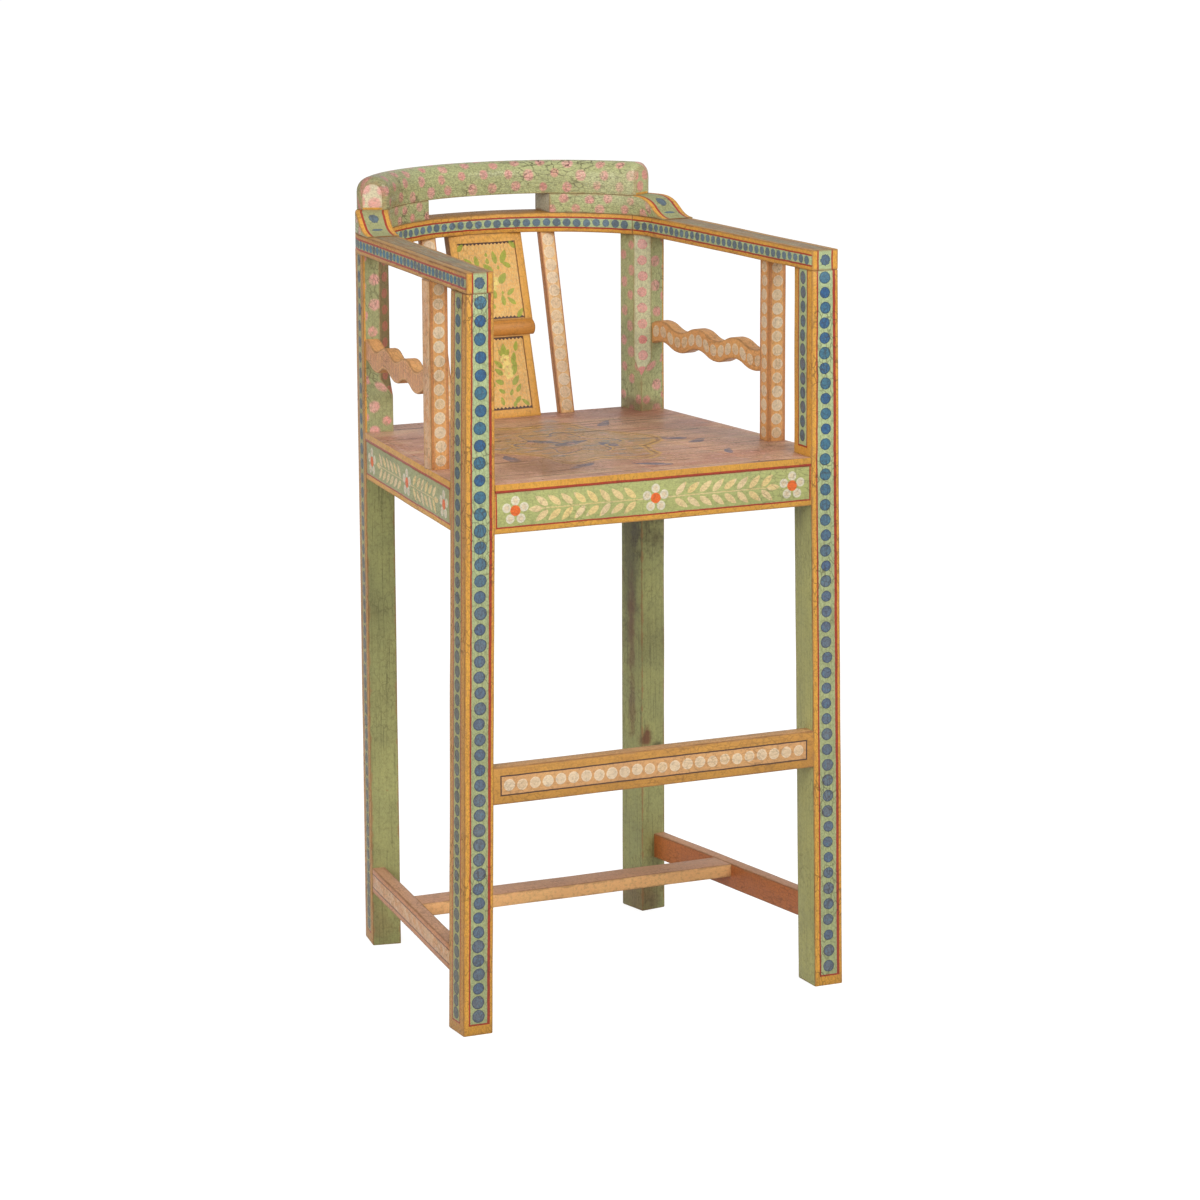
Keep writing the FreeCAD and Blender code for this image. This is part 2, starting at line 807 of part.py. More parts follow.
def make_seat_board():
    """One board, flush with the rails' outer faces and notched round the four legs."""
    body = new_body("seat_board")
    gap = D["fit"]
    right = [
        (leg_inner(D["seat_height"]) - gap, front_y),
        (leg_inner(D["seat_height"]) - gap, leg_back_y + gap),
        (side_outer(rail_middle, leg_back_y + gap), leg_back_y + gap),
        back_leg_point(1, Term(0), -gap),
        back_leg_point(1, D["back_leg_width"] + gap, -gap),
        (back_leg_inner(back_edge_y) - gap, back_edge_y),
    ]
    left = [(-x, y) for x, y in reversed(right)]
    pad(body, "XY", rail_top, D["seat_thickness"], polygon(*right, *left))
    for side in SIDES.values():
        cut(body, "XY", D["seat_height"], D["seat_thickness"], support_tenon(side, D["fit"]))
    foot_mortises(body, D["seat_height"], D["seat_thickness"])
    for places in NAILS.values():
        for x, y in places:
            drill(body, "XY", D["seat_height"], D["seat_thickness"], x, y, nail_hole)
    return body


def make_side_stretcher(name, side):
    body = make_side_member(
        f"side_stretcher_{name}", side, stretcher_bottom, D["stretcher_top"], D["stretcher_thickness"])
    mortise(body, cross_tenon_bottom, cross_tenon_height,
            cross_tenon(side, D["fit"], D["tenon_room"]))
    return body


def make_cross_stretcher():
    body = new_body("cross_stretcher")
    fore = cross_y - D["cross_width"] / 2
    rear = cross_y + D["cross_width"] / 2
    ends = [side_outer(stretcher_middle, y) - D["stretcher_thickness"] for y in (fore, rear)]
    pad(body, "XY", cross_bottom, D["cross_thickness"], polygon(
        (-ends[0], fore), (ends[0], fore), (ends[1], rear), (-ends[1], rear)))
    for side in SIDES.values():
        pad(body, "XY", cross_tenon_bottom, cross_tenon_height, cross_tenon(side, 0, 0))
    return body


def make_support(name, side):
    body = new_body(f"arm_support_{name}")
    pad(body, "XY", D["seat_height"], back_rise,
        support_plan(side, D["support_width"], D["support_depth"]))
    pad(body, "XY", arm_under, D["top_tenon_height"], support_tenon(side, 0))
    pad(body, "XY", foot_tenon_bottom, D["seat_height"] - foot_tenon_bottom, support_tenon(side, 0))
    mortise(body, wavy_tenon_bottom, D["wavy_tenon_height"],
            wavy_tenon_front(side, D["fit"], D["tenon_room"]))
    return body


def wave_edge(first, level, upper):
    """The waves at a level: towards the leg for an upper edge, and back for a lower one."""
    depth = D["wave_depth"]
    radius = (half_wave * half_wave / 4 + depth * depth) / (2 * depth)
    count = 2 * WAVES + 1
    corners = []
    for number in range(count):
        order = number if upper else count - number
        hollow = (number % 2 == 0) == upper
        corners.append(Corner(first + order * half_wave, level, radius, hollow))
    return corners


def make_wavy_rail(name, side):
    """A rail with parallel waves along its top and its underside."""
    body = new_body(f"wavy_rail_{name}")
    half = D["wavy_height"] / 2
    depth = D["wave_depth"]
    thick = D["wavy_thickness"] / 2
    pad(body, "XY", wavy_level - half - depth, 2 * (half + depth), polygon(
        (side * (support_x - thick), support_back_y), (side * (support_x + thick), support_back_y),
        back_leg_point(side, D["wavy_inset"] - thick, Term(0)),
        back_leg_point(side, D["wavy_inset"] + thick, Term(0))))
    first = support_back_y - WAVE_SHIFT[name] * half_wave
    last = first + (2 * WAVES + 1) * half_wave
    start = first - OVERCUT
    end = last + OVERCUT
    sheet_edge = D["front_width"] / 2 + OVERCUT if side > 0 else Term(-OVERCUT)
    upper = wavy_level + half
    above = wave_edge(first, upper, True)
    above += polygon((last, upper), (end, upper), (end, upper + 2 * depth),
                     (start, upper + 2 * depth), (start, upper))
    cut(body, "YZ", sheet_edge, D["front_width"] / 2, above)
    lower = wavy_level - half
    under = polygon((start, lower), (start, lower - 2 * depth), (end, lower - 2 * depth), (end, lower))
    under += wave_edge(first, lower, False) + polygon((first, lower))
    cut(body, "YZ", sheet_edge, D["front_width"] / 2, under)
    for plan in (wavy_tenon_back(side, 0, 0), wavy_tenon_front(side, 0, 0)):
        pad(body, "XY", wavy_tenon_bottom, D["wavy_tenon_height"], plan)
    return body


def head_room(body, corners):
    """A mortise in the underside of an arm or the bow."""
    height = D["top_tenon_height"] + D["tenon_room"]
    cut(body, "XY", arm_under + height, height, corners)


def corner_arc(offset, angle, hollow=False):
    x, y = corner_point(offset, angle)
    return Corner(x, y, D["bow_corner_radius"] + offset, hollow)


def main_arc(offset, angle, hollow=False):
    x, y = main_point(offset, angle)
    return Corner(x, y, bow_radius + offset, hollow)


def plain(point):
    return Corner(*point)


def make_arm(name, side):
    """An arm: straight from the front leg, then round the corner to the middle of the back leg."""
    body = new_body(f"arm_{name}")
    outer = D["front_width"] / 2
    pad(body, "XY", arm_under, D["arm_thickness"], on_side(side, [
        Corner(outer - D["arm_front_width"], front_y), Corner(outer, front_y),
        corner_arc(OUTER, arm_angle), plain(corner_point(OUTER, joint_angle)),
        corner_arc(INNER, joint_angle, hollow=True), plain(corner_point(INNER, arm_angle))]))
    head_room(body, arm_tenon(side, D["fit"]))
    head_room(body, post_tenon(side, D["fit"]))
    head_room(body, support_tenon(side, D["fit"]))
    drill(body, "XY", D["arm_height"], dowel_bore, *ramp_dowel(side), dowel_hole)
    return body


def ring(angle):
    """The bow's plan between two corner angles, one on each side of the middle."""
    right = [corner_arc(OUTER, angle), main_arc(OUTER, D["bow_angle"])]
    left = [corner_arc(OUTER, D["bow_angle"]), plain(corner_point(OUTER, angle)),
            corner_arc(INNER, angle, hollow=True), main_arc(INNER, D["bow_angle"], hollow=True)]
    for corner in left:
        corner.x = -corner.x
    inner = [corner_arc(INNER, D["bow_angle"], hollow=True), plain(corner_point(INNER, angle))]
    return right + left + inner


def make_bow():
    body = new_body("back_bow")
    pad(body, "XY", arm_under, D["arm_thickness"], ring(joint_angle))
    for side in SIDES.values():
        head_room(body, post_tenon(side, D["fit"]))
        for x, y in dowel_places(side):
            drill(body, "XY", D["arm_height"], dowel_bore, x, y, dowel_hole)
    for upright, _, (x0, x1) in upright_places():
        head_room(body, rectangle(x0 - D["fit"], x1 + D["fit"], *upright.head_tenon(D["fit"])))
    return body


def riser_end(offset):
    """The foot of a riser's ramp, a little way along the straight part of the arm."""
    x, y = corner_point(offset, arm_angle)
    return x + ramp_foot * cosine(arm_angle), y - ramp_foot * sine(arm_angle)


def make_riser(name, side):
    """A riser under one half of the crest: square at the slot, with an ogee ramp down to the arm."""
    body = new_body(f"crest_riser_{name}")
    slot_x = main_point(INNER, D["slot_angle"])[0]
    outer_radius = bow_radius + OUTER
    slot_outer_y = bow_centre_y + root(outer_radius * outer_radius - slot_x * slot_x)
    pad(body, "XY", D["arm_height"], D["riser_height"], on_side(side, [
        plain(riser_end(OUTER)), corner_arc(OUTER, arm_angle), main_arc(OUTER, D["bow_angle"]),
        plain((slot_x, slot_outer_y)), main_arc(INNER, D["slot_angle"], hollow=True),
        corner_arc(INNER, D["bow_angle"], hollow=True), plain(corner_point(INNER, arm_angle)),
        plain(riser_end(INNER))]))
    low = D["arm_height"] + D["ramp_lip"]
    fall = crest_bottom - low
    run = D["ramp_run"]
    radius = (run * run + fall * fall) / (4 * fall)
    beyond = ramp_foot + run
    ramp = [Corner(ramp_start, crest_bottom, radius, hollow=True),
            Corner(ramp_start + run / 2, low + fall / 2, radius),
            Corner(ramp_foot, low), Corner(beyond, low),
            Corner(beyond, crest_bottom + OVERCUT), Corner(ramp_start, crest_bottom + OVERCUT)]
    cut(body, "XZ", -corner_y, D["bow_corner_radius"] + D["bow_width"], on_side(side, ramp),
        turned=(side * corner_x, -side * arm_angle))
    for x, y in dowel_places(side):
        drill(body, "XY", crest_bottom, D["riser_height"], x, y, dowel_hole)
    bore = D["ramp_dowel_rise"] + D["tenon_room"]
    drill(body, "XY", D["arm_height"] + bore, bore, *ramp_dowel(side), dowel_hole)
    return body


def make_crest():
    """The crest roll, with a flat underside and both of its upper edges rounded."""
    body = new_body("crest_roll")
    roll = pad(body, "XY", crest_bottom, D["crest_height"], ring(crest_angle))
    top = value(crest_bottom + D["crest_height"])
    names = []
    for number, edge in enumerate(roll.Shape.Edges, start=1):
        on_top = all(abs(vertex.Z - top) < 0.001 for vertex in edge.Vertexes)
        if on_top and isinstance(edge.Curve, Part.Circle):
            names.append(f"Edge{number}")
    rounded = body.newObject("PartDesign::Fillet", "crest_rounding")
    rounded.Base = (roll, names)
    bind(rounded, "Radius", function("min", D["crest_round"], D["bow_width"] / 2 - 1))
    doc.recompute([body])
    for side in SIDES.values():
        for x, y in dowel_places(side):
            drill(body, "XY", crest_bottom + dowel_bore, dowel_bore, x, y, dowel_hole)
    return body


def make_slat(name, side):
    body = new_body(f"slat_{name}")
    start = side * D["slat_spread"] - D["slat_width"] / 2
    pad(body, "YZ", start, D["slat_width"], slat.slice(D["seat_height"], arm_under))
    pad(body, "YZ", start, D["slat_width"], rectangle(
        *slat.foot_tenon(), foot_tenon_bottom, D["seat_height"]))
    pad(body, "YZ", start, D["slat_width"], rectangle(
        *slat.head_tenon(), arm_under, arm_under + D["top_tenon_height"]))
    return body


moulding_bottom = D["seat_height"] + D["moulding_share"] * back_rise
moulding_top = moulding_bottom + D["moulding_height"]
moulding_middle = moulding_bottom + D["moulding_height"] / 2
pin_hole = D["pin_diameter"] + 2 * D["fit"]
pin_front_y = place("pin_front_y", splat.front(moulding_middle) - D["moulding_bulge"] * 0.85)


def make_splat():
    """The splat: a wide upper panel on a narrower lower one, each with a sunk field."""
    body = new_body("splat_board")
    lower_frame = D["frame_share"] * (moulding_bottom - D["seat_height"])
    upper_frame = D["frame_share"] * (arm_under - moulding_top)
    panels = [
        (D["splat_lower_width"], D["seat_height"], moulding_middle,
         D["seat_height"] + lower_frame, moulding_bottom - D["field_lip"]),
        (D["splat_upper_width"], moulding_middle, arm_under,
         moulding_top + D["field_lip"], arm_under - upper_frame),
    ]
    for width, low, high, _, _ in panels:
        pad(body, "YZ", -width / 2, width, splat.slice(low, high))
    foot, head = D["splat_foot_tenon_width"], D["splat_top_tenon_width"]
    pad(body, "YZ", -foot / 2, foot, rectangle(
        *splat.foot_tenon(), foot_tenon_bottom, D["seat_height"]))
    pad(body, "YZ", -head / 2, head, rectangle(
        *splat.head_tenon(), arm_under, arm_under + D["top_tenon_height"]))
    for width, _, _, low, high in panels:
        field = width - 2 * D["splat_frame"]
        cut(body, "YZ", field / 2, field, splat.slice(low, high, Term(-OVERCUT), D["field_depth"]))
    for side in SIDES.values():
        drill(body, "XZ", -(pin_front_y - OVERCUT), D["pin_length"] + OVERCUT + D["tenon_room"],
              side * D["pin_spread"], moulding_middle, pin_hole)
    return body


def make_moulding():
    """A half-round moulding across the splat, between its two panels."""
    body = new_body("splat_moulding")
    back = [(splat.front(level), level) for level in (moulding_bottom, moulding_top)]
    lean = back[1][0] - back[0][0]
    half_square = (lean * lean + D["moulding_height"] * D["moulding_height"]) / 4
    bulge = D["moulding_bulge"]
    pad(body, "YZ", -D["moulding_width"] / 2, D["moulding_width"], [
        Corner(*back[0]), Corner(*back[1], (half_square + bulge * bulge) / (2 * bulge))])
    for side in SIDES.values():
        drill(body, "XZ", -(pin_front_y - OVERCUT), D["pin_length"] + OVERCUT,
              side * D["pin_spread"], moulding_middle, pin_hole)
    return body


def add_rod(label, x, y, low, length, diameter, lying=False):
    """An upright round rod, or one that lies along the depth, from its lower or front end."""
    rod = doc.addObject("Part::Cylinder", label)
    bind(rod, "Radius", diameter / 2)
    bind(rod, "Height", length)
    if lying:
        rod.Placement = FreeCAD.Placement(
            FreeCAD.Vector(), FreeCAD.Rotation(FreeCAD.Vector(1, 0, 0), -90))
    bind(rod, "Placement.Base.x", x)
    bind(rod, "Placement.Base.y", y)
    bind(rod, "Placement.Base.z", low)
    return rod


def group_of(label, rods):
    group = doc.addObject("Part::Compound", label)
    group.Label = label
    group.Links = rods
    doc.recompute()
    return group


def make_fasteners():
    """Groups of like fasteners: seat nails, crest dowels, ramp dowels and moulding pins."""
    low = D["seat_height"] - D["nail_length"]
    nails = [add_rod("nail", x, y, low, D["nail_length"], D["nail_diameter"])
             for places in NAILS.values() for x, y in places]
    start = D["arm_height"] - D["dowel_depth"]
    length = D["riser_height"] + 2 * D["dowel_depth"]
    dowels = [add_rod("dowel", x, y, start, length, D["dowel_diameter"])
              for side in SIDES.values() for x, y in dowel_places(side)]
    shorts = [add_rod("ramp_dowel", *ramp_dowel(side), start,
                      D["dowel_depth"] + D["ramp_dowel_rise"], D["dowel_diameter"])
              for side in SIDES.values()]
    pins = [add_rod("pin", side * D["pin_spread"], pin_front_y, moulding_middle,
                    D["pin_length"], D["pin_diameter"], lying=True)
            for side in SIDES.values()]
    return [group_of("seat_nails", nails), group_of("crest_dowels", dowels),
            group_of("ramp_dowels", shorts), group_of("moulding_pins", pins)]


def make_chair():
    pieces = [make_front_rail(), make_back_rail(), make_seat_board(), make_footrest(),
              make_cross_stretcher(), make_bow(), make_crest(), make_splat(), make_moulding()]
    for name, side in SIDES.items():
        for make in (make_front_leg, make_back_leg, make_side_rail, make_side_stretcher,
                     make_arm, make_support, make_wavy_rail, make_riser, make_slat):
            pieces.append(make(name, side))
    return pieces + make_fasteners()


def check(pieces):
    """Stops at the first object that failed to compute."""
    doc.recompute()
    for thing in doc.Objects:
        if "Invalid" in thing.State or "Error" in thing.State:
            raise RuntimeError(f"{thing.Label} did not compute")
    for piece in pieces:
        if piece.Shape.isNull() or not piece.Shape.isValid():
            raise RuntimeError(f"{piece.Label} has no valid shape")


pieces = make_chair()
check(pieces)
os.makedirs("parts", exist_ok=True)
for piece in pieces:
    piece.Shape.exportStep(f"parts/{piece.Label}.step")
    print(piece.Label, len(piece.Shape.Solids), round(piece.Shape.Volume))
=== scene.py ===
"""Looks of the tall painted armchair: its timbers, shaped by hand, and their old painted finishes.

The sizes below are in millimetres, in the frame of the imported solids: +X is to the right of someone
who faces the chair, +Y is towards its back and +Z is up. Meshes and shaders are in metres.
"""
import logging
import math
from collections.abc import Callable, Sequence
from dataclasses import dataclass, field, replace
from enum import Enum

import bmesh
import bpy
from mathutils import Matrix, Vector, noise


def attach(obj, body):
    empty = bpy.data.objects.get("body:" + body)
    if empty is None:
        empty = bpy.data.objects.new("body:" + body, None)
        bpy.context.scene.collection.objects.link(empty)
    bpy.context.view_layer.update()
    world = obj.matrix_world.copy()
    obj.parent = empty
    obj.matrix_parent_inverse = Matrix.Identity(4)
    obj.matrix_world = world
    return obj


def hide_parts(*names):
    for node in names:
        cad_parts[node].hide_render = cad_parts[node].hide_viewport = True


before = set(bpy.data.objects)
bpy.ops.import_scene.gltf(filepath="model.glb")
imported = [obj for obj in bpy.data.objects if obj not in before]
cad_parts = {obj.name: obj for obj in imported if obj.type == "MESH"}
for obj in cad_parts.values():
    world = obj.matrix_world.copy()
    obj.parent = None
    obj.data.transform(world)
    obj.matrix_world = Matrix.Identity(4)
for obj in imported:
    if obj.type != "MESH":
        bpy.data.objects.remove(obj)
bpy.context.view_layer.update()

MM = 0.001
# Half the softness of a brush mark's edge, in metres
BRUSH_EDGE = 0.0004
# How near points are merged in a shaped piece and in a copied solid, in metres
SHAPED_MERGE = 2e-6
COPIED_MERGE = 1e-5
# How far the uprights' ends are sunk in the seat and the arms, in millimetres
SUNK = 0.8
# The seed of the handwork's waver, which gives each run the same timbers
HANDWORK_SEED = 5
LOG = logging.getLogger("painted_chair")

Colour = tuple[float, float, float, float]
Test = Callable[[Vector], bool]


def paint(red: float, green: float, blue: float) -> Colour:
    """A paint as it looks on a screen, from 0 to 255, in the linear light that shaders use.

    Args:
        red: the red part.
        green: the green part.
        blue: the blue part.

    Returns:
        The linear colour, with full alpha.
    """
    def linear(part: float) -> float:
        """One part in linear light."""
        share = part / 255
        return share / 12.92 if share <= 0.04045 else ((share + 0.055) / 1.055) ** 2.4
    return linear(red), linear(green), linear(blue), 1.0


class Paint(Enum):
    """The paints and bare materials of the chair, and the colours of its painted shade and painted
    highlights.
    """

    OCHRE = paint(220, 158, 64)
    OLD_OCHRE = paint(196, 140, 66)
    BRICK = paint(164, 56, 34)
    DARK_LINE = paint(74, 50, 40)
    SAGE = paint(174, 190, 140)
    DULL_SAGE = paint(158, 160, 112)
    PLAIN_GREEN = paint(178, 176, 112)
    CREST_GREEN = paint(180, 184, 130)
    COBALT = paint(46, 92, 138)
    TEAL = paint(76, 132, 152)
    SLATE = paint(90, 108, 120)
    DARK_SLATE = paint(34, 46, 66)
    PINK = paint(226, 146, 138)
    PALE_PINK = paint(234, 180, 168)
    PEACH = paint(228, 166, 104)
    SPLAT_PEACH = paint(226, 170, 92)
    AMBER = paint(204, 136, 58)
    BURNT_ORANGE = paint(194, 110, 56)
    GLOW_PEACH = paint(246, 186, 124)
    PALE_PEACH = paint(232, 184, 128)
    DEEP_PEACH = paint(206, 138, 82)
    CREAM = paint(230, 204, 170)
    WARM_CREAM = paint(222, 188, 148)
    LEAF_CREAM = paint(232, 200, 130)
    WHITE = paint(224, 214, 190)
    ORANGE = paint(232, 104, 42)
    WORN_SLATE = paint(84, 92, 96)
    OLD_SLATE = paint(104, 104, 92)
    DEEP_TEAL = paint(64, 112, 136)
    DARK_TEAL = paint(62, 90, 102)
    LAVENDER = paint(106, 112, 122)
    RAIL_GREEN = paint(170, 175, 110)
    BROWN_GREEN = paint(164, 164, 106)
    PALE_GREY = paint(196, 190, 166)
    ROSE_TAN = paint(206, 152, 118)
    SCROLL = paint(220, 172, 92)
    LEAF_GREEN = paint(142, 160, 44)
    FLOWER_YELLOW = paint(236, 212, 120)
    TERRACOTTA = paint(200, 134, 90)
    SIENNA = paint(190, 116, 70)
    TAN = paint(214, 160, 106)
    MAUVE = paint(204, 158, 132)
    ARM_GREY = paint(142, 132, 104)
    ARM_BROWN = paint(156, 116, 76)
    GRIME = paint(58, 42, 28)
    EDGE_DIRT = paint(104, 56, 32)
    RUST = paint(112, 70, 46)
    # Soot, and painted shade under the seat
    SOOT = paint(66, 54, 36)
    # Also the crest's painted highlight
    PALE_CELADON = paint(210, 210, 168)
    # Painted light: the crest's lit left end
    PALE_BLUSH = paint(216, 204, 170)
    # Painted shade, under the arms and on the left post's column
    DARK_OLIVE = paint(126, 112, 74)
    ROSE_BROWN = paint(168, 106, 86)
    SOFT_SLATE = paint(98, 122, 140)
    SOFT_TEAL = paint(112, 140, 152)
    SEAT_OLIVE = paint(186, 152, 98)
    SEAT_BLUE = paint(98, 104, 124)
    # Painted highlight on the rims of raised dots
    BRIGHT_CREAM = paint(246, 222, 190)
    BARE_WOOD = paint(176, 132, 88)
    IRON = paint(70, 62, 56)


class Reckoned:
    """A number that a node puts out, which can be reckoned with like any other."""

    def __init__(self, graph: "Graph", socket: bpy.types.NodeSocket) -> None:
        """Keeps the graph and the socket."""
        self.graph = graph
        self.socket = socket

    def __add__(self, other: "Number") -> "Reckoned":
        """The sum."""
        return self.graph.math("ADD", self, other)

    __radd__ = __add__

    def __sub__(self, other: "Number") -> "Reckoned":
        """The difference."""
        return self.graph.math("SUBTRACT", self, other)

    def __rsub__(self, other: "Number") -> "Reckoned":
        """The difference the other way round."""
        return self.graph.math("SUBTRACT", other, self)

    def __mul__(self, other: "Number") -> "Reckoned":
        """The product."""
        return self.graph.math("MULTIPLY", self, other)

    __rmul__ = __mul__

    def __truediv__(self, other: "Number") -> "Reckoned":
        """The quotient."""
        return self.graph.math("DIVIDE", self, other)

    def lowest(self, other: "Number") -> "Reckoned":
        """The lower of the two."""
        return self.graph.math("MINIMUM", self, other)

    def highest(self, other: "Number") -> "Reckoned":
        """The higher of the two."""
        return self.graph.math("MAXIMUM", self, other)

    def size(self) -> "Reckoned":
        """The number without its sign."""
        return self.graph.math("ABSOLUTE", self)

    def floor(self) -> "Reckoned":
        """The whole number below."""
        return self.graph.math("FLOOR", self)

    def fraction(self) -> "Reckoned":
        """What is left over the whole number below."""
        return self.graph.math("FRACT", self)

    def fade(self, nothing: "Number", full: "Number") -> "Reckoned":
        """A soft step.

        Args:
            nothing: where the step is still 0.
            full: where the step has reached 1.

        Returns:
            The step as a mask.
        """
        settings = {"interpolation_type": "SMOOTHSTEP"}
        node = self.graph.add("ShaderNodeMapRange", settings, {0: self, 1: nothing, 2: full})
        return Reckoned(self.graph, node.outputs[0])

    def crisp(self) -> "Reckoned":
        """A mask of where the number is over 0, as sharp as a brush leaves it."""
        return self.fade(-BRUSH_EDGE, BRUSH_EDGE)

    def beyond(self, width: float, soft: float = 0.3) -> "Reckoned":
        """A mask of what is further away than a width, in millimetres, with a soft edge."""
        return self.fade((width - soft) * MM, (width + soft) * MM)

    def within(self, width: float, soft: float = 0.3) -> "Reckoned":
        """A mask of what is nearer than a width, in millimetres, with a soft edge."""
        return self.fade((width + soft) * MM, (width - soft) * MM)


Number = float | Reckoned
Shade = Colour | bpy.types.NodeSocket


class Graph:
    """Writes nodes into a material or a node group."""

    def __init__(self, tree: bpy.types.NodeTree) -> None:
        """Keeps the tree that is written to."""
        self.tree = tree

    def feed(self, socket: bpy.types.NodeSocket, thing: object) -> None:
        """Links a socket to what it reads, or gives it a constant."""
        if isinstance(thing, Reckoned):
            self.tree.links.new(thing.socket, socket)
        elif isinstance(thing, bpy.types.NodeSocket):
            self.tree.links.new(thing, socket)
        else:
            socket.default_value = thing

    def add(self, kind: str, settings: dict[str, object] | None = None,
            inputs: dict[int | str, object] | None = None) -> bpy.types.Node:
        """Adds a node.

        Args:
            kind: the node's type.
            settings: the node's own settings.
            inputs: what its sockets read, by number or name.

        Returns:
            The new node.
        """
        node = self.tree.nodes.new(kind)
        for name, setting in (settings or {}).items():
            setattr(node, name, setting)
        for key, thing in (inputs or {}).items():
            self.feed(node.inputs[key], thing)
        return node

    def math(self, operation: str, *numbers: Number) -> Reckoned:
        """One step of arithmetic."""
        inputs = dict(enumerate(numbers))
        node = self.add("ShaderNodeMath", {"operation": operation}, inputs)
        return Reckoned(self, node.outputs[0])

    def mix(self, share: Number, under: Shade, over: Shade, blend: str = "MIX") -> bpy.types.NodeSocket:
        """One colour over another.

        Args:
            share: how much of the upper colour shows.
            under: the lower colour.
            over: the upper colour.
            blend: how the two are mixed.

        Returns:
            The mixed colour.
        """
        settings = {"data_type": "RGBA", "blend_type": blend}
        node = self.add("ShaderNodeMix", settings, {0: share, 6: under, 7: over})
        return node.outputs[2]

    def spot(self, x: Number, y: Number, z: Number = 0.0) -> bpy.types.NodeSocket:
        """A vector of three numbers."""
        return self.add("ShaderNodeCombineXYZ", None, {0: x, 1: y, 2: z}).outputs[0]

    def where(self) -> bpy.types.NodeSocket:
        """The place on the chair, in metres."""
        return self.add("ShaderNodeTexCoord").outputs["Object"]

    def parts(self, vector: bpy.types.NodeSocket) -> list[Reckoned]:
        """The three numbers of a vector."""
        node = self.add("ShaderNodeSeparateXYZ", None, {0: vector})
        return [Reckoned(self, socket) for socket in node.outputs]

    def unwrapped(self, name: str) -> list[Reckoned]:
        """The two numbers of one of the piece's maps."""
        node = self.add("ShaderNodeUVMap", {"uv_map": name})
        return self.parts(node.outputs[0])[:2]

    def cloud(self, vector: bpy.types.NodeSocket, scale: float, detail: float = 2.0,
              rough: float = 0.5, twist: float = 0.0) -> Reckoned:
        """Smooth noise between 0 and 1.

        Args:
            vector: where it is read.
            scale: its features per metre.
            detail: its octaves.
            rough: how strong the finer octaves are.
            twist: how far it is distorted.

        Returns:
            The noise.
        """
        inputs = {"Vector": vector, "Scale": scale, "Detail": detail,
                  "Roughness": rough, "Distortion": twist}
        return Reckoned(self, self.add("ShaderNodeTexNoise", None, inputs).outputs[0])

    def chance(self, x: Number, y: Number) -> Reckoned:
        """A number between 0 and 1 that is the same all over a cell."""
        settings = {"noise_dimensions": "2D"}
        node = self.add("ShaderNodeTexWhiteNoise", settings, {"Vector": self.spot(x, y)})
        return Reckoned(self, node.outputs["Value"])

    def moved(self, vector: bpy.types.NodeSocket, by: tuple[float, float, float],
              scale: tuple[float, float, float] = (1.0, 1.0, 1.0)) -> bpy.types.NodeSocket:
        """A vector, scaled and then moved by a constant."""
        inputs = {"Vector": vector, "Location": by, "Scale": scale}
        return self.add("ShaderNodeMapping", None, inputs).outputs[0]


def blank_material(name: str) -> tuple[bpy.types.Material, Graph, bpy.types.Node]:
    """A new material, its graph and its shader."""
    material = bpy.data.materials.new(name)
    material.use_nodes = True
    return material, Graph(material.node_tree), material.node_tree.nodes["Principled BSDF"]


@dataclass(frozen=True)
class Effect:
    """A shader node group that several finishes use, with named inputs and outputs."""

    name: str
    inputs: dict[str, float | Colour]
    outputs: dict[str, str]
    draw: Callable[[Graph, dict[str, bpy.types.NodeSocket]], dict[str, object]]

    def tree(self) -> bpy.types.NodeTree:
        """The group, which is written the first time that it is asked for."""
        if self.name in bpy.data.node_groups:
            return bpy.data.node_groups[self.name]
        tree = bpy.data.node_groups.new(self.name, "ShaderNodeTree")
        for name, start in self.inputs.items():
            kind = "NodeSocketColor" if isinstance(start, tuple) else "NodeSocketFloat"
            socket = tree.interface.new_socket(name, in_out="INPUT", socket_type=kind)
            socket.default_value = start
        for name, kind in self.outputs.items():
            tree.interface.new_socket(name, in_out="OUTPUT", socket_type=kind)
        graph = Graph(tree)
        entry = graph.add("NodeGroupInput")
        given = {name: entry.outputs[name] for name in self.inputs}
        graph.add("NodeGroupOutput", None, self.draw(graph, given))
        return tree

    def use(self, graph: Graph, **inputs: object) -> dict[str, bpy.types.NodeSocket]:
        """Places the group in a material or another group.

        Args:
            graph: where it goes.
            inputs: what its sockets read; a socket that isn't named keeps its first value.

        Returns:
            Its output sockets by name.
        """
        node = graph.add("ShaderNodeGroup", {"node_tree": self.tree()}, inputs)
        return {name: node.outputs[name] for name in self.outputs}


NUMBER = "NodeSocketFloat"
COLOUR = "NodeSocketColor"


def numbers(graph: Graph, given: dict[str, bpy.types.NodeSocket], names: str) -> list[Reckoned]:
    """The named inputs of a group as numbers to reckon with."""
    return [Reckoned(graph, given[name]) for name in names.split()]


def draw_place(graph: Graph, given: dict[str, bpy.types.NodeSocket]) -> dict[str, object]:
    """Distances to a face's four edges, with the waver of a hand-drawn line."""
    (wobble,) = numbers(graph, given, "Wobble")
    start, end = graph.unwrapped("run")
    left, right = graph.unwrapped("across")
    where = graph.where()
    sway = (graph.cloud(where, 60.0, 3.0) - 0.5) * wobble
    lean = (graph.cloud(graph.moved(where, (3.1, 1.7, 5.3)), 60.0, 3.0) - 0.5) * wobble
    return {"Start": start + sway, "End": end - sway, "Left": left + lean, "Right": right - lean}


def ragged_rim(graph: Graph, ragged: Number) -> Reckoned:
    """How far a brush mark's rim strays, as a share of how ragged it is."""
    return (graph.cloud(graph.where(), 420.0, 2.0) - 0.5) * ragged


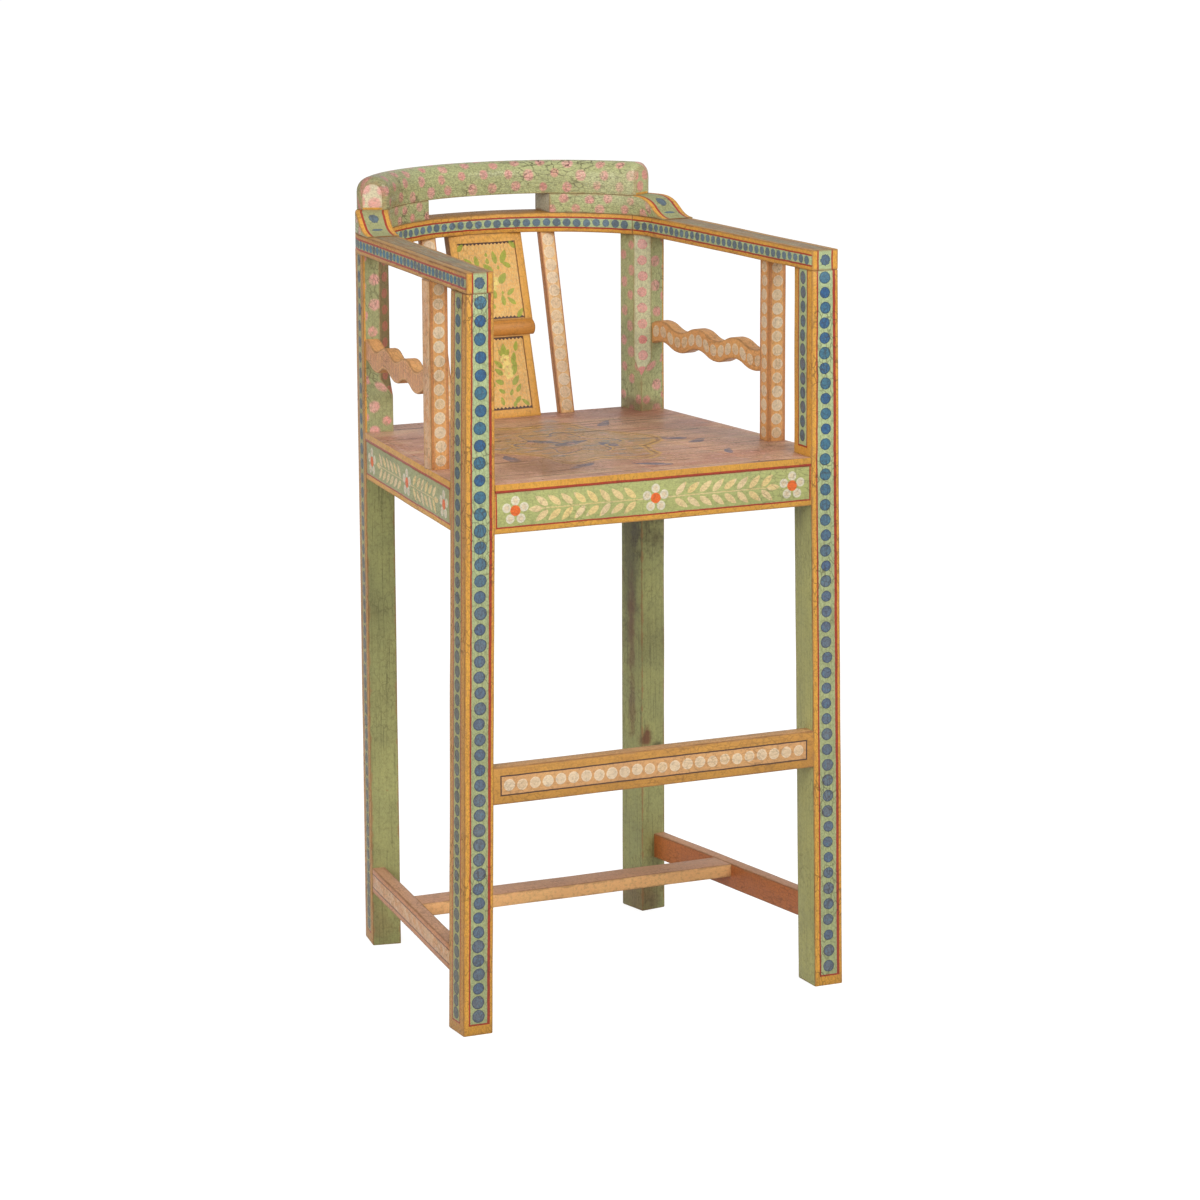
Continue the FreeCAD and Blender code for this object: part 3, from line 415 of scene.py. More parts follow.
def draw_dot_row(graph: Graph, given: dict[str, bpy.types.NodeSocket]) -> dict[str, object]:
    """A row of dots along the middle of a face, spaced to fit its length."""
    start, end, left, right, margin, tail, pitch, radius, oval, gather, ragged, seed = numbers(
        graph, given, "Start End Left Right Margin Tail Pitch Radius Oval Gather Ragged Seed")
    length = start + end - margin - tail
    count = graph.math("ROUND", length / pitch).highest(1.0)
    spacing = length / count
    share = (start - margin) / length
    along = (share + share * (1.0 - share) * gather) * count
    density = (1.0 - share * 2.0) * gather + 1.0
    cell = along.floor()
    tone = graph.chance(cell, seed)
    drift = (graph.chance(cell, seed + 7.0) - 0.5) * radius * 0.22
    near = (along - cell - 0.5) * spacing / (density * oval)
    off = (left - right) * 0.5 + drift
    reach = graph.math("SQRT", near * near + off * off)
    swell = radius * (tone * 0.14 + 0.93)
    rim = swell - reach + ragged_rim(graph, ragged)
    inside = along.fade(-0.02, 0.02) * (count - along).fade(-0.02, 0.02)
    return {"Dot": rim.crisp() * inside, "Tone": tone, "Depth": rim / radius}


def draw_dot_field(graph: Graph, given: dict[str, bpy.types.NodeSocket]) -> dict[str, object]:
    """Dots in staggered, hand-placed rows over a whole face."""
    along, across, pitch, rows, radius, ragged, soft, seed = numbers(
        graph, given, "Along Across Pitch Rows Radius Ragged Soft Seed")
    row = (across / rows).floor()
    shift = (row * 0.5).fraction()
    step = along / pitch + shift
    cell = step.floor()
    tone = graph.chance(cell, row + seed)
    stray_x = (graph.chance(cell + 31.0, row + seed) - 0.5) * pitch * 0.3
    stray_y = (graph.chance(cell + 57.0, row + seed) - 0.5) * rows * 0.3
    x = (step - cell - 0.5) * pitch + stray_x
    y = (across / rows - row - 0.5) * rows + stray_y
    reach = graph.math("SQRT", x * x + y * y)
    rim = radius * (tone * 0.3 + 0.85) - reach + ragged_rim(graph, ragged)
    return {"Dot": rim.fade(soft * -1.0, soft), "Tone": tone, "Depth": rim / radius}


def draw_leaf(graph: Graph, given: dict[str, bpy.types.NodeSocket]) -> dict[str, object]:
    """A pointed leaf, laid along an angle from its middle."""
    x, y, angle, length, width = numbers(graph, given, "X Y Angle Length Width")
    cosine, sine = graph.math("COSINE", angle), graph.math("SINE", angle)
    along = ((x * cosine + y * sine) / (length * 0.5)).lowest(1.5)
    across = (y * cosine - x * sine).size()
    bulge = graph.math("POWER", (1.0 - along * along).highest(0.0), 0.7)
    belly = bulge * (1.0 - along * 0.25) * width * 0.5 - (along.size() - 1.0).highest(0.0)
    return {"Leaf": (belly - across).crisp()}


def draw_flower(graph: Graph, given: dict[str, bpy.types.NodeSocket]) -> dict[str, object]:
    """A flower of five round petals about a round heart."""
    x, y, reach, petal, heart, turn = numbers(graph, given, "X Y Reach Petal Heart Turn")
    span = math.tau / 5
    radius = graph.math("SQRT", x * x + y * y)
    angle = graph.math("ARCTAN2", y, x) + turn
    folded = ((angle / span).fraction() - 0.5) * span
    near = radius * graph.math("COSINE", folded) - reach
    off = radius * graph.math("SINE", folded)
    rim = petal - graph.math("SQRT", near * near + off * off)
    return {"Petal": rim.crisp(), "Heart": (heart - radius).crisp(),
            "Depth": rim / petal}


def draw_old_paint(graph: Graph, given: dict[str, bpy.types.NodeSocket]) -> dict[str, object]:
    """Ages a paint: mottling, brush streaks, craquelure, rubbed edges, chips and grime."""
    edge, along, across, crackle, rub, grime, soil, shine = numbers(
        graph, given, "Edge Along Across Crackle Rub Grime Soil Shine")
    where = graph.where()
    mottle = graph.cloud(where, 26.0, 5.0, 0.62)
    fine = graph.cloud(where, 240.0, 3.0, 0.6)
    colour = graph.mix(mottle.fade(0.3, 0.75) * 0.3, given["Paint"], (0.92, 0.84, 0.66, 1.0), "SOFT_LIGHT")
    colour = graph.mix(fine.fade(0.45, 0.75) * 0.26, colour, Paint.GRIME.value)
    streak = graph.cloud(graph.spot(along * 9.0, across * 320.0), 1.0, 4.0, 0.65)
    colour = graph.mix(streak.fade(0.5, 0.76) * 0.5 * grime, colour, Paint.GRIME.value)
    x, y, z = graph.parts(where)
    bent = graph.spot(along * 0.62 + mottle * 0.03, across * 1.5 + fine * 0.008, (x + y + z) * 0.3)
    web = {"feature": "DISTANCE_TO_EDGE"}
    coarse = graph.add("ShaderNodeTexVoronoi", web, {"Vector": bent, "Scale": 110.0})
    small = graph.add("ShaderNodeTexVoronoi", web, {"Vector": bent, "Scale": 270.0})
    patchy = graph.cloud(graph.moved(where, (9.0, 4.0, 2.0)), 14.0, 3.0).fade(0.4, 0.6)
    wide = Reckoned(graph, coarse.outputs["Distance"]).fade(0.085, 0.02)
    narrow = Reckoned(graph, small.outputs["Distance"]).fade(0.11, 0.03)
    cracks = (wide * patchy).highest(narrow * (1.0 - patchy * 0.6) * 0.6) * crackle
    colour = graph.mix(cracks * 0.8, colour, Paint.GRIME.value)
    wear = graph.cloud(graph.moved(where, (1.0, 8.0, 3.0)), 70.0, 4.0, 0.65)
    bare = (edge + (wear - 0.5) * 0.011).fade(0.0022, 0.0) * rub
    chips = graph.cloud(graph.moved(where, (5.0, 2.0, 7.0)), 130.0, 3.0, 0.7).fade(0.69, 0.74) * rub * 0.8
    worn = bare.highest(chips)
    wood = graph.mix(streak, Paint.BARE_WOOD.value, Paint.ARM_BROWN.value)
    colour = graph.mix(worn * 0.75, colour, wood)
    dirt = (edge + (fine - 0.5) * 0.002).fade(0.002, 0.0006) * (mottle.fade(0.35, 0.6) * 0.5 + 0.3)
    colour = graph.mix(dirt * grime * soil, colour, Paint.EDGE_DIRT.value)
    soot = graph.cloud(graph.moved(where, (4.0, 6.0, 1.0)), 7.0, 4.0, 0.6)
    colour = graph.mix(soot.fade(0.45, 0.8) * grime * 0.34, colour, Paint.GRIME.value)
    rough = 1.0 - shine + (mottle - 0.5) * 0.22 + cracks * 0.25 + worn * 0.2
    height = fine * 0.12 + streak * 0.16 - cracks * 0.5 - worn * 0.3
    return {"Colour": colour, "Roughness": rough, "Height": height}


PLACE = Effect("brushed_place", {"Wobble": 0.0012},
               {"Start": NUMBER, "End": NUMBER, "Left": NUMBER, "Right": NUMBER}, draw_place)
DOT_ROW = Effect("dot_row", {
    "Start": 0.0, "End": 0.0, "Left": 0.0, "Right": 0.0, "Margin": 0.0, "Tail": 0.0, "Pitch": 0.019,
    "Radius": 0.0075, "Oval": 1.0, "Gather": 0.0, "Ragged": 0.0012, "Seed": 0.0},
    {"Dot": NUMBER, "Tone": NUMBER, "Depth": NUMBER}, draw_dot_row)
DOT_FIELD = Effect("dot_field", {
    "Along": 0.0, "Across": 0.0, "Pitch": 0.036, "Rows": 0.015, "Radius": 0.0055, "Ragged": 0.003,
    "Soft": 0.0016, "Seed": 0.0}, {"Dot": NUMBER, "Tone": NUMBER, "Depth": NUMBER}, draw_dot_field)
LEAF = Effect("leaf", {"X": 0.0, "Y": 0.0, "Angle": 0.0, "Length": 0.02, "Width": 0.008},
              {"Leaf": NUMBER}, draw_leaf)
FLOWER = Effect("flower", {"X": 0.0, "Y": 0.0, "Reach": 0.01, "Petal": 0.005, "Heart": 0.006, "Turn": 0.0},
                {"Petal": NUMBER, "Heart": NUMBER, "Depth": NUMBER}, draw_flower)
OLD_PAINT = Effect("old_paint", {
    "Paint": (0.5, 0.5, 0.5, 1.0), "Edge": 0.0, "Along": 0.0, "Across": 0.0, "Crackle": 0.5,
    "Rub": 0.6, "Grime": 0.5, "Soil": 1.0, "Shine": 0.5},
    {"Colour": COLOUR, "Roughness": NUMBER, "Height": NUMBER}, draw_old_paint)


@dataclass(frozen=True)
class Place:
    """Distances from a point of a face to the face's four edges."""

    start: Reckoned
    end: Reckoned
    left: Reckoned
    right: Reckoned

    def side_edge(self) -> Reckoned:
        """The distance to the nearer long edge."""
        return self.left.lowest(self.right)

    def any_edge(self) -> Reckoned:
        """The distance to the nearest edge."""
        return self.side_edge().lowest(self.start.lowest(self.end))

    def middle(self) -> tuple[Reckoned, Reckoned]:
        """The distances from the middle of the face, along and across."""
        return (self.start - self.end) * 0.5, (self.left - self.right) * 0.5


class Hem(Enum):
    """The long edge of a face along which an ochre line runs."""

    NEITHER = 0
    LEFT = 1
    RIGHT = 2


class Close(Enum):
    """The ends of a face at which a band's border turns round it."""

    NEITHER = 0
    START = 1
    END = 2
    BOTH = 3


@dataclass(frozen=True)
class Stain:
    """A stain, a faded or bare place, or a patch of painted shade or painted highlight, by its middle and its
    half sizes in millimetres.
    """

    middle: tuple[float, float, float]
    reach: tuple[float, float, float]
    paint: Paint
    strength: float = 0.8

    def over(self, graph: Graph, colour: Shade) -> Shade:
        """The colour with the patch on it, ragged at its rim."""
        scale = tuple(1 / (part * MM) for part in self.reach)
        shift = tuple(-place * MM * part for place, part in zip(self.middle, scale))
        spot = graph.moved(graph.where(), shift, scale)
        length = graph.add("ShaderNodeVectorMath", {"operation": "LENGTH"}, {0: spot})
        ragged = (graph.cloud(graph.where(), 60.0, 4.0, 0.6) - 0.5) * 1.1
        share = (1.0 - Reckoned(graph, length.outputs["Value"]) + ragged).fade(0.0, 0.75)
        return graph.mix(share * self.strength, colour, self.paint.value)


@dataclass(frozen=True)
class Finish:
    """One plain coat of old paint. The other finishes draw their patterns on top of it."""

    name: str
    coat: Paint
    crackle: float = 0.5
    rub: float = 0.6
    grime: float = 0.5
    shine: float = 0.52
    wobble: float = 1.2
    soil: float = 1.0
    stains: tuple[Stain, ...] = ()

    def draw(self, graph: Graph, place: Place) -> tuple[Shade, Number]:
        """The fresh pattern.

        Args:
            graph: the material's graph.
            place: where on the face it is drawn.

        Returns:
            Its colour, and its relief in millimetres.
        """
        cloudy = graph.cloud(graph.where(), 5.0, 3.0).fade(0.3, 0.7)
        return graph.mix(cloudy * 0.12, self.coat.value, Paint.GRIME.value), 0.0

    def material(self) -> bpy.types.Material:
        """The material, which is written the first time that it is asked for."""
        if self.name in bpy.data.materials:
            return bpy.data.materials[self.name]
        material, graph, shader = blank_material(self.name)
        spots = PLACE.use(graph, Wobble=self.wobble * MM)
        place = Place(*(Reckoned(graph, spots[name]) for name in ("Start", "End", "Left", "Right")))
        colour, relief = self.draw(graph, place)
        for patch in self.stains:
            colour = patch.over(graph, colour)
        aged = OLD_PAINT.use(
            graph, Paint=colour, Edge=place.any_edge(), Along=place.start, Across=place.left,
            Crackle=self.crackle, Rub=self.rub, Grime=self.grime, Soil=self.soil, Shine=self.shine)
        height = Reckoned(graph, aged["Height"]) + relief
        bump = graph.add("ShaderNodeBump", None, {"Strength": 0.5, "Distance": MM, "Height": height})
        graph.feed(shader.inputs["Base Color"], aged["Colour"])
        graph.feed(shader.inputs["Roughness"], aged["Roughness"])
        graph.feed(shader.inputs["Normal"], bump.outputs[0])
        shader.inputs["Specular IOR Level"].default_value = 0.4
        return material


@dataclass(frozen=True)
class BandFinish(Finish):
    """A bordered band with a row of dots: a border, a thin line, a field, and the dots in it.

    Attributes:
        low_levels: the height, in metres, under which the low coat and dots begin and are full.
        heavy: the edge with the broad line.
        heavy_border: how much narrower the border is there.
        heavy_line: how much nearer the line comes to that edge.
    """

    border: Paint = Paint.OCHRE
    line: Paint = Paint.BRICK
    dot: Paint = Paint.COBALT
    other_dot: Paint = Paint.SLATE
    low_dot: Paint | None = None
    low_coat: Paint | None = None
    low_levels: tuple[float, float] = (0.72, 0.45)
    heavy: Hem = Hem.NEITHER
    heavy_border: float = 2.6
    heavy_line: float = 1.0
    glint: Paint = Paint.TEAL
    rim: Paint = Paint.DARK_SLATE
    border_width: float = 6.5
    line_width: float = 2.2
    foot: float = 0.0
    radius: float = 7.6
    pitch: float = 19.2
    oval: float = 1.0
    gather: float = 0.0
    margin: float = 2.0
    tail: float = 2.0
    ragged: float = 1.2
    relief: float = 0.35
    close: Close = Close.NEITHER
    seed: float = 0.0

    def edge(self, place: Place, gain: float) -> Reckoned:
        """The distance to the bordered edges.

        Args:
            place: where on the face it is measured.
            gain: how much nearer the heavy edge's border or line ends, in millimetres.

        Returns:
            The distance in metres.
        """
        left = place.left + (gain * MM if self.heavy is Hem.LEFT else 0.0)
        right = place.right + (gain * MM if self.heavy is Hem.RIGHT else 0.0)
        edge = left.lowest(right)
        if self.close in (Close.START, Close.BOTH):
            edge = edge.lowest(place.start - self.foot * MM)
        if self.close in (Close.END, Close.BOTH):
            edge = edge.lowest(place.end)
        return edge

    def marks(self, graph: Graph, place: Place) -> dict[str, bpy.types.NodeSocket]:
        """The row of dots along the band."""
        return DOT_ROW.use(
            graph, Start=place.start, End=place.end, Left=place.left, Right=place.right,
            Margin=self.margin * MM, Tail=self.tail * MM, Pitch=self.pitch * MM,
            Radius=self.radius * MM, Oval=self.oval, Gather=self.gather, Ragged=self.ragged * MM,
            Seed=self.seed)

    def draw(self, graph: Graph, place: Place) -> tuple[Shade, Number]:
        """The border, the line, the field and the row of dots."""
        past_border = self.edge(place, self.heavy_border).beyond(self.border_width)
        past_line = self.edge(place, self.heavy_line).beyond(self.border_width + self.line_width)
        colour = graph.mix(past_border, self.border.value, self.line.value)
        low = graph.parts(graph.where())[2].fade(*self.low_levels)
        coat = graph.mix(low * 0.6, self.coat.value, (self.low_coat or self.coat).value)
        colour = graph.mix(past_line, colour, coat)
        dots = self.marks(graph, place)
        tone, depth = (Reckoned(graph, dots[name]) for name in ("Tone", "Depth"))
        swirl = graph.cloud(graph.where(), 300.0, 4.0, 0.65)
        body = graph.mix(tone.fade(0.15, 0.85), self.dot.value, self.other_dot.value)
        if self.low_dot:
            body = graph.mix(low * (tone * 0.35 + 0.6), body, self.low_dot.value)
        body = graph.mix(swirl.fade(0.5, 0.7) * 0.6, body, self.glint.value)
        body = graph.mix(swirl.fade(0.5, 0.3) * 0.5, body, self.rim.value)
        body = graph.mix(depth.fade(0.26, 0.02) * 0.65, body, self.rim.value)
        colour = graph.mix(dots["Dot"], colour, body)
        return colour, Reckoned(graph, dots["Dot"]) * self.relief


@dataclass(frozen=True)
class RampFinish(BandFinish):
    """A ramp's band, which has a drop and a flat stroke below it for its dots.

    Attributes:
        strokes: the share of the length, the half length and the half width of each mark.
    """

    strokes: tuple[tuple[float, float, float], ...] = ((0.44, 9.5, 6.4), (0.72, 2.6, 7.6))

    def marks(self, graph: Graph, place: Place) -> dict[str, bpy.types.NodeSocket]:
        """The drop and the stroke."""
        length = place.start + place.end
        across = place.middle()[1]
        rim: Number = -1.0
        for share, half_length, half_width in self.strokes:
            near = (place.start - length * share) / (half_length * MM)
            off = across / (half_width * MM)
            rim = (1.0 - graph.math("SQRT", near * near + off * off)).highest(rim)
        rim = rim + ragged_rim(graph, 0.5)
        tone = graph.chance(self.seed, 1.0)
        return {"Dot": rim.fade(-0.08, 0.08).socket, "Tone": tone.socket, "Depth": rim.socket}


@dataclass(frozen=True)
class EdgeFinish(Finish):
    """The seat's edge: plain paint over a line that runs along its foot."""

    line: Paint = Paint.BRICK
    line_top: float = 0.0

    def draw(self, graph: Graph, place: Place) -> tuple[Shade, Number]:
        """The coat and the line."""
        colour, relief = super().draw(graph, place)
        level = graph.parts(graph.where())[2] + (graph.cloud(graph.where(), 60.0, 3.0) - 0.5) * MM
        low = level.within(self.line_top)
        return graph.mix(low, colour, self.line.value), relief


@dataclass(frozen=True)
class SpottedFinish(Finish):
    """Dots in staggered rows over a plain coat, and an ochre hem where there is one."""

    dot: Paint = Paint.PINK
    other_dot: Paint = Paint.PALE_PINK
    pitch: float = 36.0
    rows: float = 15.0
    radius: float = 5.4
    hem: Hem = Hem.NEITHER
    hem_width: float = 2.4
    seed: float = 0.0

    def draw(self, graph: Graph, place: Place) -> tuple[Shade, Number]:
        """The coat, the dots and the hem."""
        dots = DOT_FIELD.use(
            graph, Along=place.start, Across=place.left, Pitch=self.pitch * MM, Rows=self.rows * MM,
            Radius=self.radius * MM, Ragged=3.2 * MM, Seed=self.seed)
        swirl = graph.cloud(graph.where(), 330.0, 3.0, 0.6)
        tone = Reckoned(graph, dots["Tone"])
        body = graph.mix(tone * 0.5 + swirl.fade(0.45, 0.7) * 0.5, self.dot.value, self.other_dot.value)
        thin = graph.cloud(graph.where(), 120.0, 5.0, 0.7).fade(0.72, 0.42) * 0.5 + 0.42
        colour = graph.mix(Reckoned(graph, dots["Dot"]) * thin, self.coat.value, body)
        if self.hem is not Hem.NEITHER:
            edge = place.left if self.hem is Hem.LEFT else place.right
            line = edge.within(self.hem_width, 0.4)
            colour = graph.mix(line, colour, Paint.OCHRE.value)
        return colour, Reckoned(graph, dots["Dot"]) * 0.2


@dataclass(frozen=True)
class Spray:
    """A painted leaf, by its place from the middle of the pattern, its lie and its size."""

    x: float
    y: float
    angle: float
    length: float = 13.0
    width: float = 6.0


@dataclass(frozen=True)
class GarlandFinish(Finish):
    """A seat rail's panel: three flowers with leaf sprays between them, in a red and ochre frame.

    Attributes:
        leaf: a leaf, by its place from its root on the stem.
        tip: the leaf at the end of a spray.
        flower: the petals' distance from the middle, their radius, and the heart's.
    """

    side_border: float = 2.4
    low_border: float = 6.5
    line_width: float = 2.0
    first_leaf: float = 24.0
    leaf_pitch: float = 17.2
    leaves: int = 8
    leaf: Spray = Spray(3.0, 9.4, 33.0, 21.0, 8.0)
    tip: Spray = Spray(3.0, 0.0, 0.0, 18.0, 8.0)
    flower: tuple[float, float, float] = (12.4, 5.9, 6.8)
    flower_turn: float = 18.0
    end_flower: float = 29.0
    half_stem: float = 0.9
    top_line: float = 0.7

    def frame(self, graph: Graph, place: Place) -> Shade:
        """The ochre border, the red line and the green panel."""
        inner = self.side_border + self.line_width
        edge = (place.left - (self.low_border - self.side_border) * MM).lowest(
            place.right + (inner - self.top_line) * MM).lowest(place.start.lowest(place.end))
        colour = graph.mix(edge.beyond(self.side_border), Paint.OCHRE.value, Paint.BRICK.value)
        return graph.mix(edge.beyond(inner), colour, self.coat.value)

    def draw(self, graph: Graph, place: Place) -> tuple[Shade, Number]:
        """The panel with its stems, leaves and flowers."""
        colour = self.frame(graph, place)
        along, across = place.middle()
        rise = across - (self.low_border - self.line_width) * 0.5 * MM
        out = along.size()
        step = (out - self.first_leaf * MM) / (self.leaf_pitch * MM)
        leaf: Number = 0.0
        for shift in (0.0, 1.0):
            root = step - shift
            number = root.floor()
            tone = graph.chance(number, graph.math("SIGN", rise) * 3.0 + graph.math("SIGN", along))
            near = (root - number + shift - 0.5) * self.leaf_pitch * MM
            spray = LEAF.use(
                graph, X=near - self.leaf.x * MM, Y=rise.size() - self.leaf.y * MM,
                Angle=math.radians(self.leaf.angle) + tone * 0.25, Length=self.leaf.length * MM,
                Width=self.leaf.width * MM)
            kept = root.fade(0.0, 0.02) * (float(self.leaves) - root).fade(0.0, 0.02)
            leaf = (Reckoned(graph, spray["Leaf"]) * kept).highest(leaf)
        bounds = step.fade(0.0, 0.02) * (float(self.leaves) - step).fade(0.0, 0.02)
        reach = self.first_leaf + self.leaf_pitch * self.leaves + self.tip.x
        tip = LEAF.use(graph, X=out - reach * MM, Y=rise, Angle=math.radians(self.tip.angle),
                       Length=self.tip.length * MM, Width=self.tip.width * MM)
        leaf = leaf.highest(Reckoned(graph, tip["Leaf"]))
        stem = (self.half_stem * MM - rise.size()).crisp() * step.fade(-0.8, -0.7) * bounds.highest(
            (1.0 - step).fade(0.0, 0.1)) * 0.6
        body = graph.mix(tone * 0.6 + 0.35, Paint.CREAM.value, Paint.LEAF_CREAM.value)
        rubbed = graph.cloud(graph.where(), 150.0, 4.0, 0.7).fade(0.7, 0.45) * 0.3 + 0.66
        colour = graph.mix(stem.highest(leaf * rubbed), colour, body)
        ends = place.start.lowest(place.end) - self.end_flower * MM
        petals, hearts, depth = 0.0, 0.0, 0.0
        reach, petal, heart = (size * MM for size in self.flower)
        for x in (along, ends):
            flower = FLOWER.use(graph, X=x, Y=rise, Reach=reach, Petal=petal, Heart=heart,
                                Turn=math.radians(self.flower_turn))
            petals = Reckoned(graph, flower["Petal"]).highest(petals)
            hearts = Reckoned(graph, flower["Heart"]).highest(hearts)
            depth = Reckoned(graph, flower["Depth"]).highest(depth)
        swirl = graph.cloud(graph.where(), 360.0, 3.0, 0.6).fade(0.4, 0.7)
        white = graph.mix(depth.fade(0.25, 0.6) * (swirl * 0.3 + 0.45), Paint.WHITE.value,
                          Paint.WARM_CREAM.value)
        colour = graph.mix(petals * 0.92, colour, white)
        colour = graph.mix(hearts, colour, Paint.ORANGE.value)
        return colour, (petals.highest(hearts) + leaf * 0.5) * 0.3


@dataclass(frozen=True)
class SplatFinish(Finish):
    """A splat panel: an ochre frame, a dark line, and a peach field with leaves and flowers.

    Attributes:
        flower: the petals' distance from the middle, their radius, and the heart's.
        growth: by how much the leaves are longer and wider than their sprays say.
    """

    frame_width: float = 10.5
    lip: float = 1.4
    end_line: float = 2.6
    side_line: float = 0.9
    moulded: Close = Close.START
    flower: tuple[float, float, float] = (4.4, 2.9, 1.6)
    growth: tuple[float, float] = (1.12, 1.05)
    sprays: tuple[Spray, ...] = ()
    flowers: tuple[tuple[float, float], ...] = ()

    def draw(self, graph: Graph, place: Place) -> tuple[Shade, Number]:
        """The frame, the field and its plants."""
        open_end = (self.frame_width - self.lip) * MM
        start = place.start + (open_end if self.moulded is Close.START else 0.0)
        end = place.end + (open_end if self.moulded is Close.END else 0.0)
        edge = place.side_edge().lowest(start.lowest(end))
        tooth = graph.math("SINE", place.left * 1150.0) * 0.9 * MM
        ends = start.lowest(end) + tooth
        past_line = (ends - self.end_line * MM).lowest(place.side_edge() - self.side_line * MM).beyond(
            self.frame_width)
        colour = graph.mix(edge.beyond(self.frame_width, 0.4), Paint.OCHRE.value, Paint.DARK_LINE.value)
        speckle = graph.cloud(graph.where(), 480.0, 2.0, 0.6)
        hair = graph.cloud(graph.spot(place.start * 70.0, place.left * 620.0), 1.0, 3.0, 0.6)
        field_coat = graph.mix(speckle.fade(0.44, 0.62) * 0.55, self.coat.value, Paint.LEAF_CREAM.value)
        field_coat = graph.mix(hair.fade(0.56, 0.68) * 0.55, field_coat, Paint.ARM_BROWN.value)
        colour = graph.mix(past_line, colour, field_coat)
        along, across = place.middle()
        leaves: Number = 0.0
        for spray in self.sprays:
            leaf = LEAF.use(graph, X=across - spray.x * MM, Y=along - spray.y * MM,
                            Angle=math.radians(spray.angle), Length=spray.length * self.growth[0] * MM,
                            Width=spray.width * self.growth[1] * MM)
            leaves = Reckoned(graph, leaf["Leaf"]).highest(leaves)
        thin = graph.cloud(graph.where(), 210.0, 4.0, 0.7).fade(0.72, 0.45) * 0.3 + 0.62
        colour = graph.mix(leaves * thin, colour, Paint.LEAF_GREEN.value)
        petals: Number = 0.0
        reach, petal, heart = (size * MM for size in self.flower)
        for x, y in self.flowers:
            flower = FLOWER.use(graph, X=across - x * MM, Y=along - y * MM, Reach=reach, Petal=petal,
                                Heart=heart)
            petals = Reckoned(graph, flower["Petal"]).highest(petals)
        colour = graph.mix(petals * 0.9, colour, Paint.FLOWER_YELLOW.value)
        return colour, leaves * 0.12


@dataclass(frozen=True)
class SeatFinish(Finish):
    """The sat-on top: rubbed rose-brown, with what is left of a lobed medallion and blue leaves.

    Attributes:
        traces: the depth inside the medallion, the paint and the strength of each of its lines.
    """

    middle: tuple[float, float] = (-12.0, -50.0)
    size: float = 118.0
    depth_share: float = 0.72
    lobes: int = 6
    traces: tuple[tuple[float, Paint, float], ...] = (
        (0.0, Paint.SCROLL, 0.8), (4.2, Paint.ARM_BROWN, 0.85), (8.5, Paint.SCROLL, 0.7),
        (52.0, Paint.SCROLL, 0.6), (56.0, Paint.SEAT_BLUE, 0.7))
    leaves: tuple[Spray, ...] = (
        Spray(112, -66, 160, 52, 17), Spray(142, -98, 25, 44, 15), Spray(20, -236, 150, 46, 15),
        Spray(-62, -214, 20, 54, 15), Spray(-132, -122, 70, 46, 14), Spray(-112, 62, 120, 54, 17),
        Spray(96, 66, 60, 50, 16), Spray(-10, -52, 30, 60, 22), Spray(-40, -30, 140, 46, 16),
        Spray(30, -80, 110, 44, 16), Spray(150, -190, 70, 40, 13), Spray(-150, -40, 100, 40, 13))

    def draw(self, graph: Graph, place: Place) -> tuple[Shade, Number]:
        """The worn coat, the medallion, the leaves and the scratches."""
        where = graph.where()
        x, y, _ = graph.parts(where)
        grain = graph.cloud(graph.moved(where, (0.0, 0.0, 0.0), (7.0, 55.0, 1.0)), 1.0, 5.0, 0.62)
        broad = graph.cloud(where, 6.5, 4.0, 0.6, 0.6)
        colour = graph.mix(broad.fade(0.36, 0.66) * 0.75, self.coat.value, Paint.ROSE_BROWN.value)
        colour = graph.mix(grain.fade(0.46, 0.7) * 0.5, colour, Paint.WARM_CREAM.value)
        drift = (graph.cloud(graph.moved(where, (6.0, 1.0, 0.0)), 9.0, 3.0) - 0.5) * 0.05
        off_x = x - self.middle[0] * MM + drift
        off_y = (y - self.middle[1] * MM - drift) * self.depth_share
        turn = graph.math("ARCTAN2", off_y, off_x)
        reach = graph.math("SQRT", off_x * off_x + off_y * off_y)
        inside = (graph.math("COSINE", turn * self.lobes) * 0.1 + 0.9) * self.size * MM - reach
        fading = graph.cloud(graph.moved(where, (1.0, 3.0, 0.0)), 22.0, 4.0, 0.6).fade(0.34, 0.56)
        colour = graph.mix(inside.fade(-0.012, 0.02) * (fading * 0.3 + 0.3), colour, Paint.SEAT_OLIVE.value)
        fleck = graph.cloud(graph.moved(where, (8.0, 8.0, 0.0), (1.0, 2.6, 1.0)), 42.0, 4.0, 0.65, 0.5)
        colour = graph.mix(fleck.fade(0.53, 0.64) * inside.fade(-0.03, 0.02) * 0.7, colour,
                           Paint.SOFT_TEAL.value)
        leaves: Number = 0.0
        for leaf in self.leaves:
            shape = LEAF.use(graph, X=x - leaf.x * MM + drift, Y=y - leaf.y * MM - drift,
                             Angle=math.radians(leaf.angle), Length=leaf.length * MM, Width=leaf.width * MM)
            leaves = Reckoned(graph, shape["Leaf"]).highest(leaves)
        colour = graph.mix(leaves * (fading * 0.55 + 0.3), colour, Paint.SEAT_BLUE.value)
        for depth, line, strength in self.traces:
            trace = (inside - depth * MM).size().within(2.3, 1.1)
            colour = graph.mix(trace * (fading * 0.6 + 0.4) * strength, colour, line.value)
        pink = graph.cloud(graph.moved(where, (3.0, 9.0, 0.0), (1.0, 2.2, 1.0)), 60.0, 3.0, 0.6)
        colour = graph.mix(pink.fade(0.55, 0.66) * 0.6, colour, Paint.PALE_PINK.value)
        gouge = graph.cloud(graph.moved(where, (5.0, 5.0, 0.0), (9.0, 120.0, 1.0)), 1.0, 4.0, 0.6)
        colour = graph.mix(gouge.fade(0.56, 0.68) * 0.65, colour, Paint.GRIME.value)
        return colour, grain * 0.3 - gouge.fade(0.62, 0.72) * 0.5


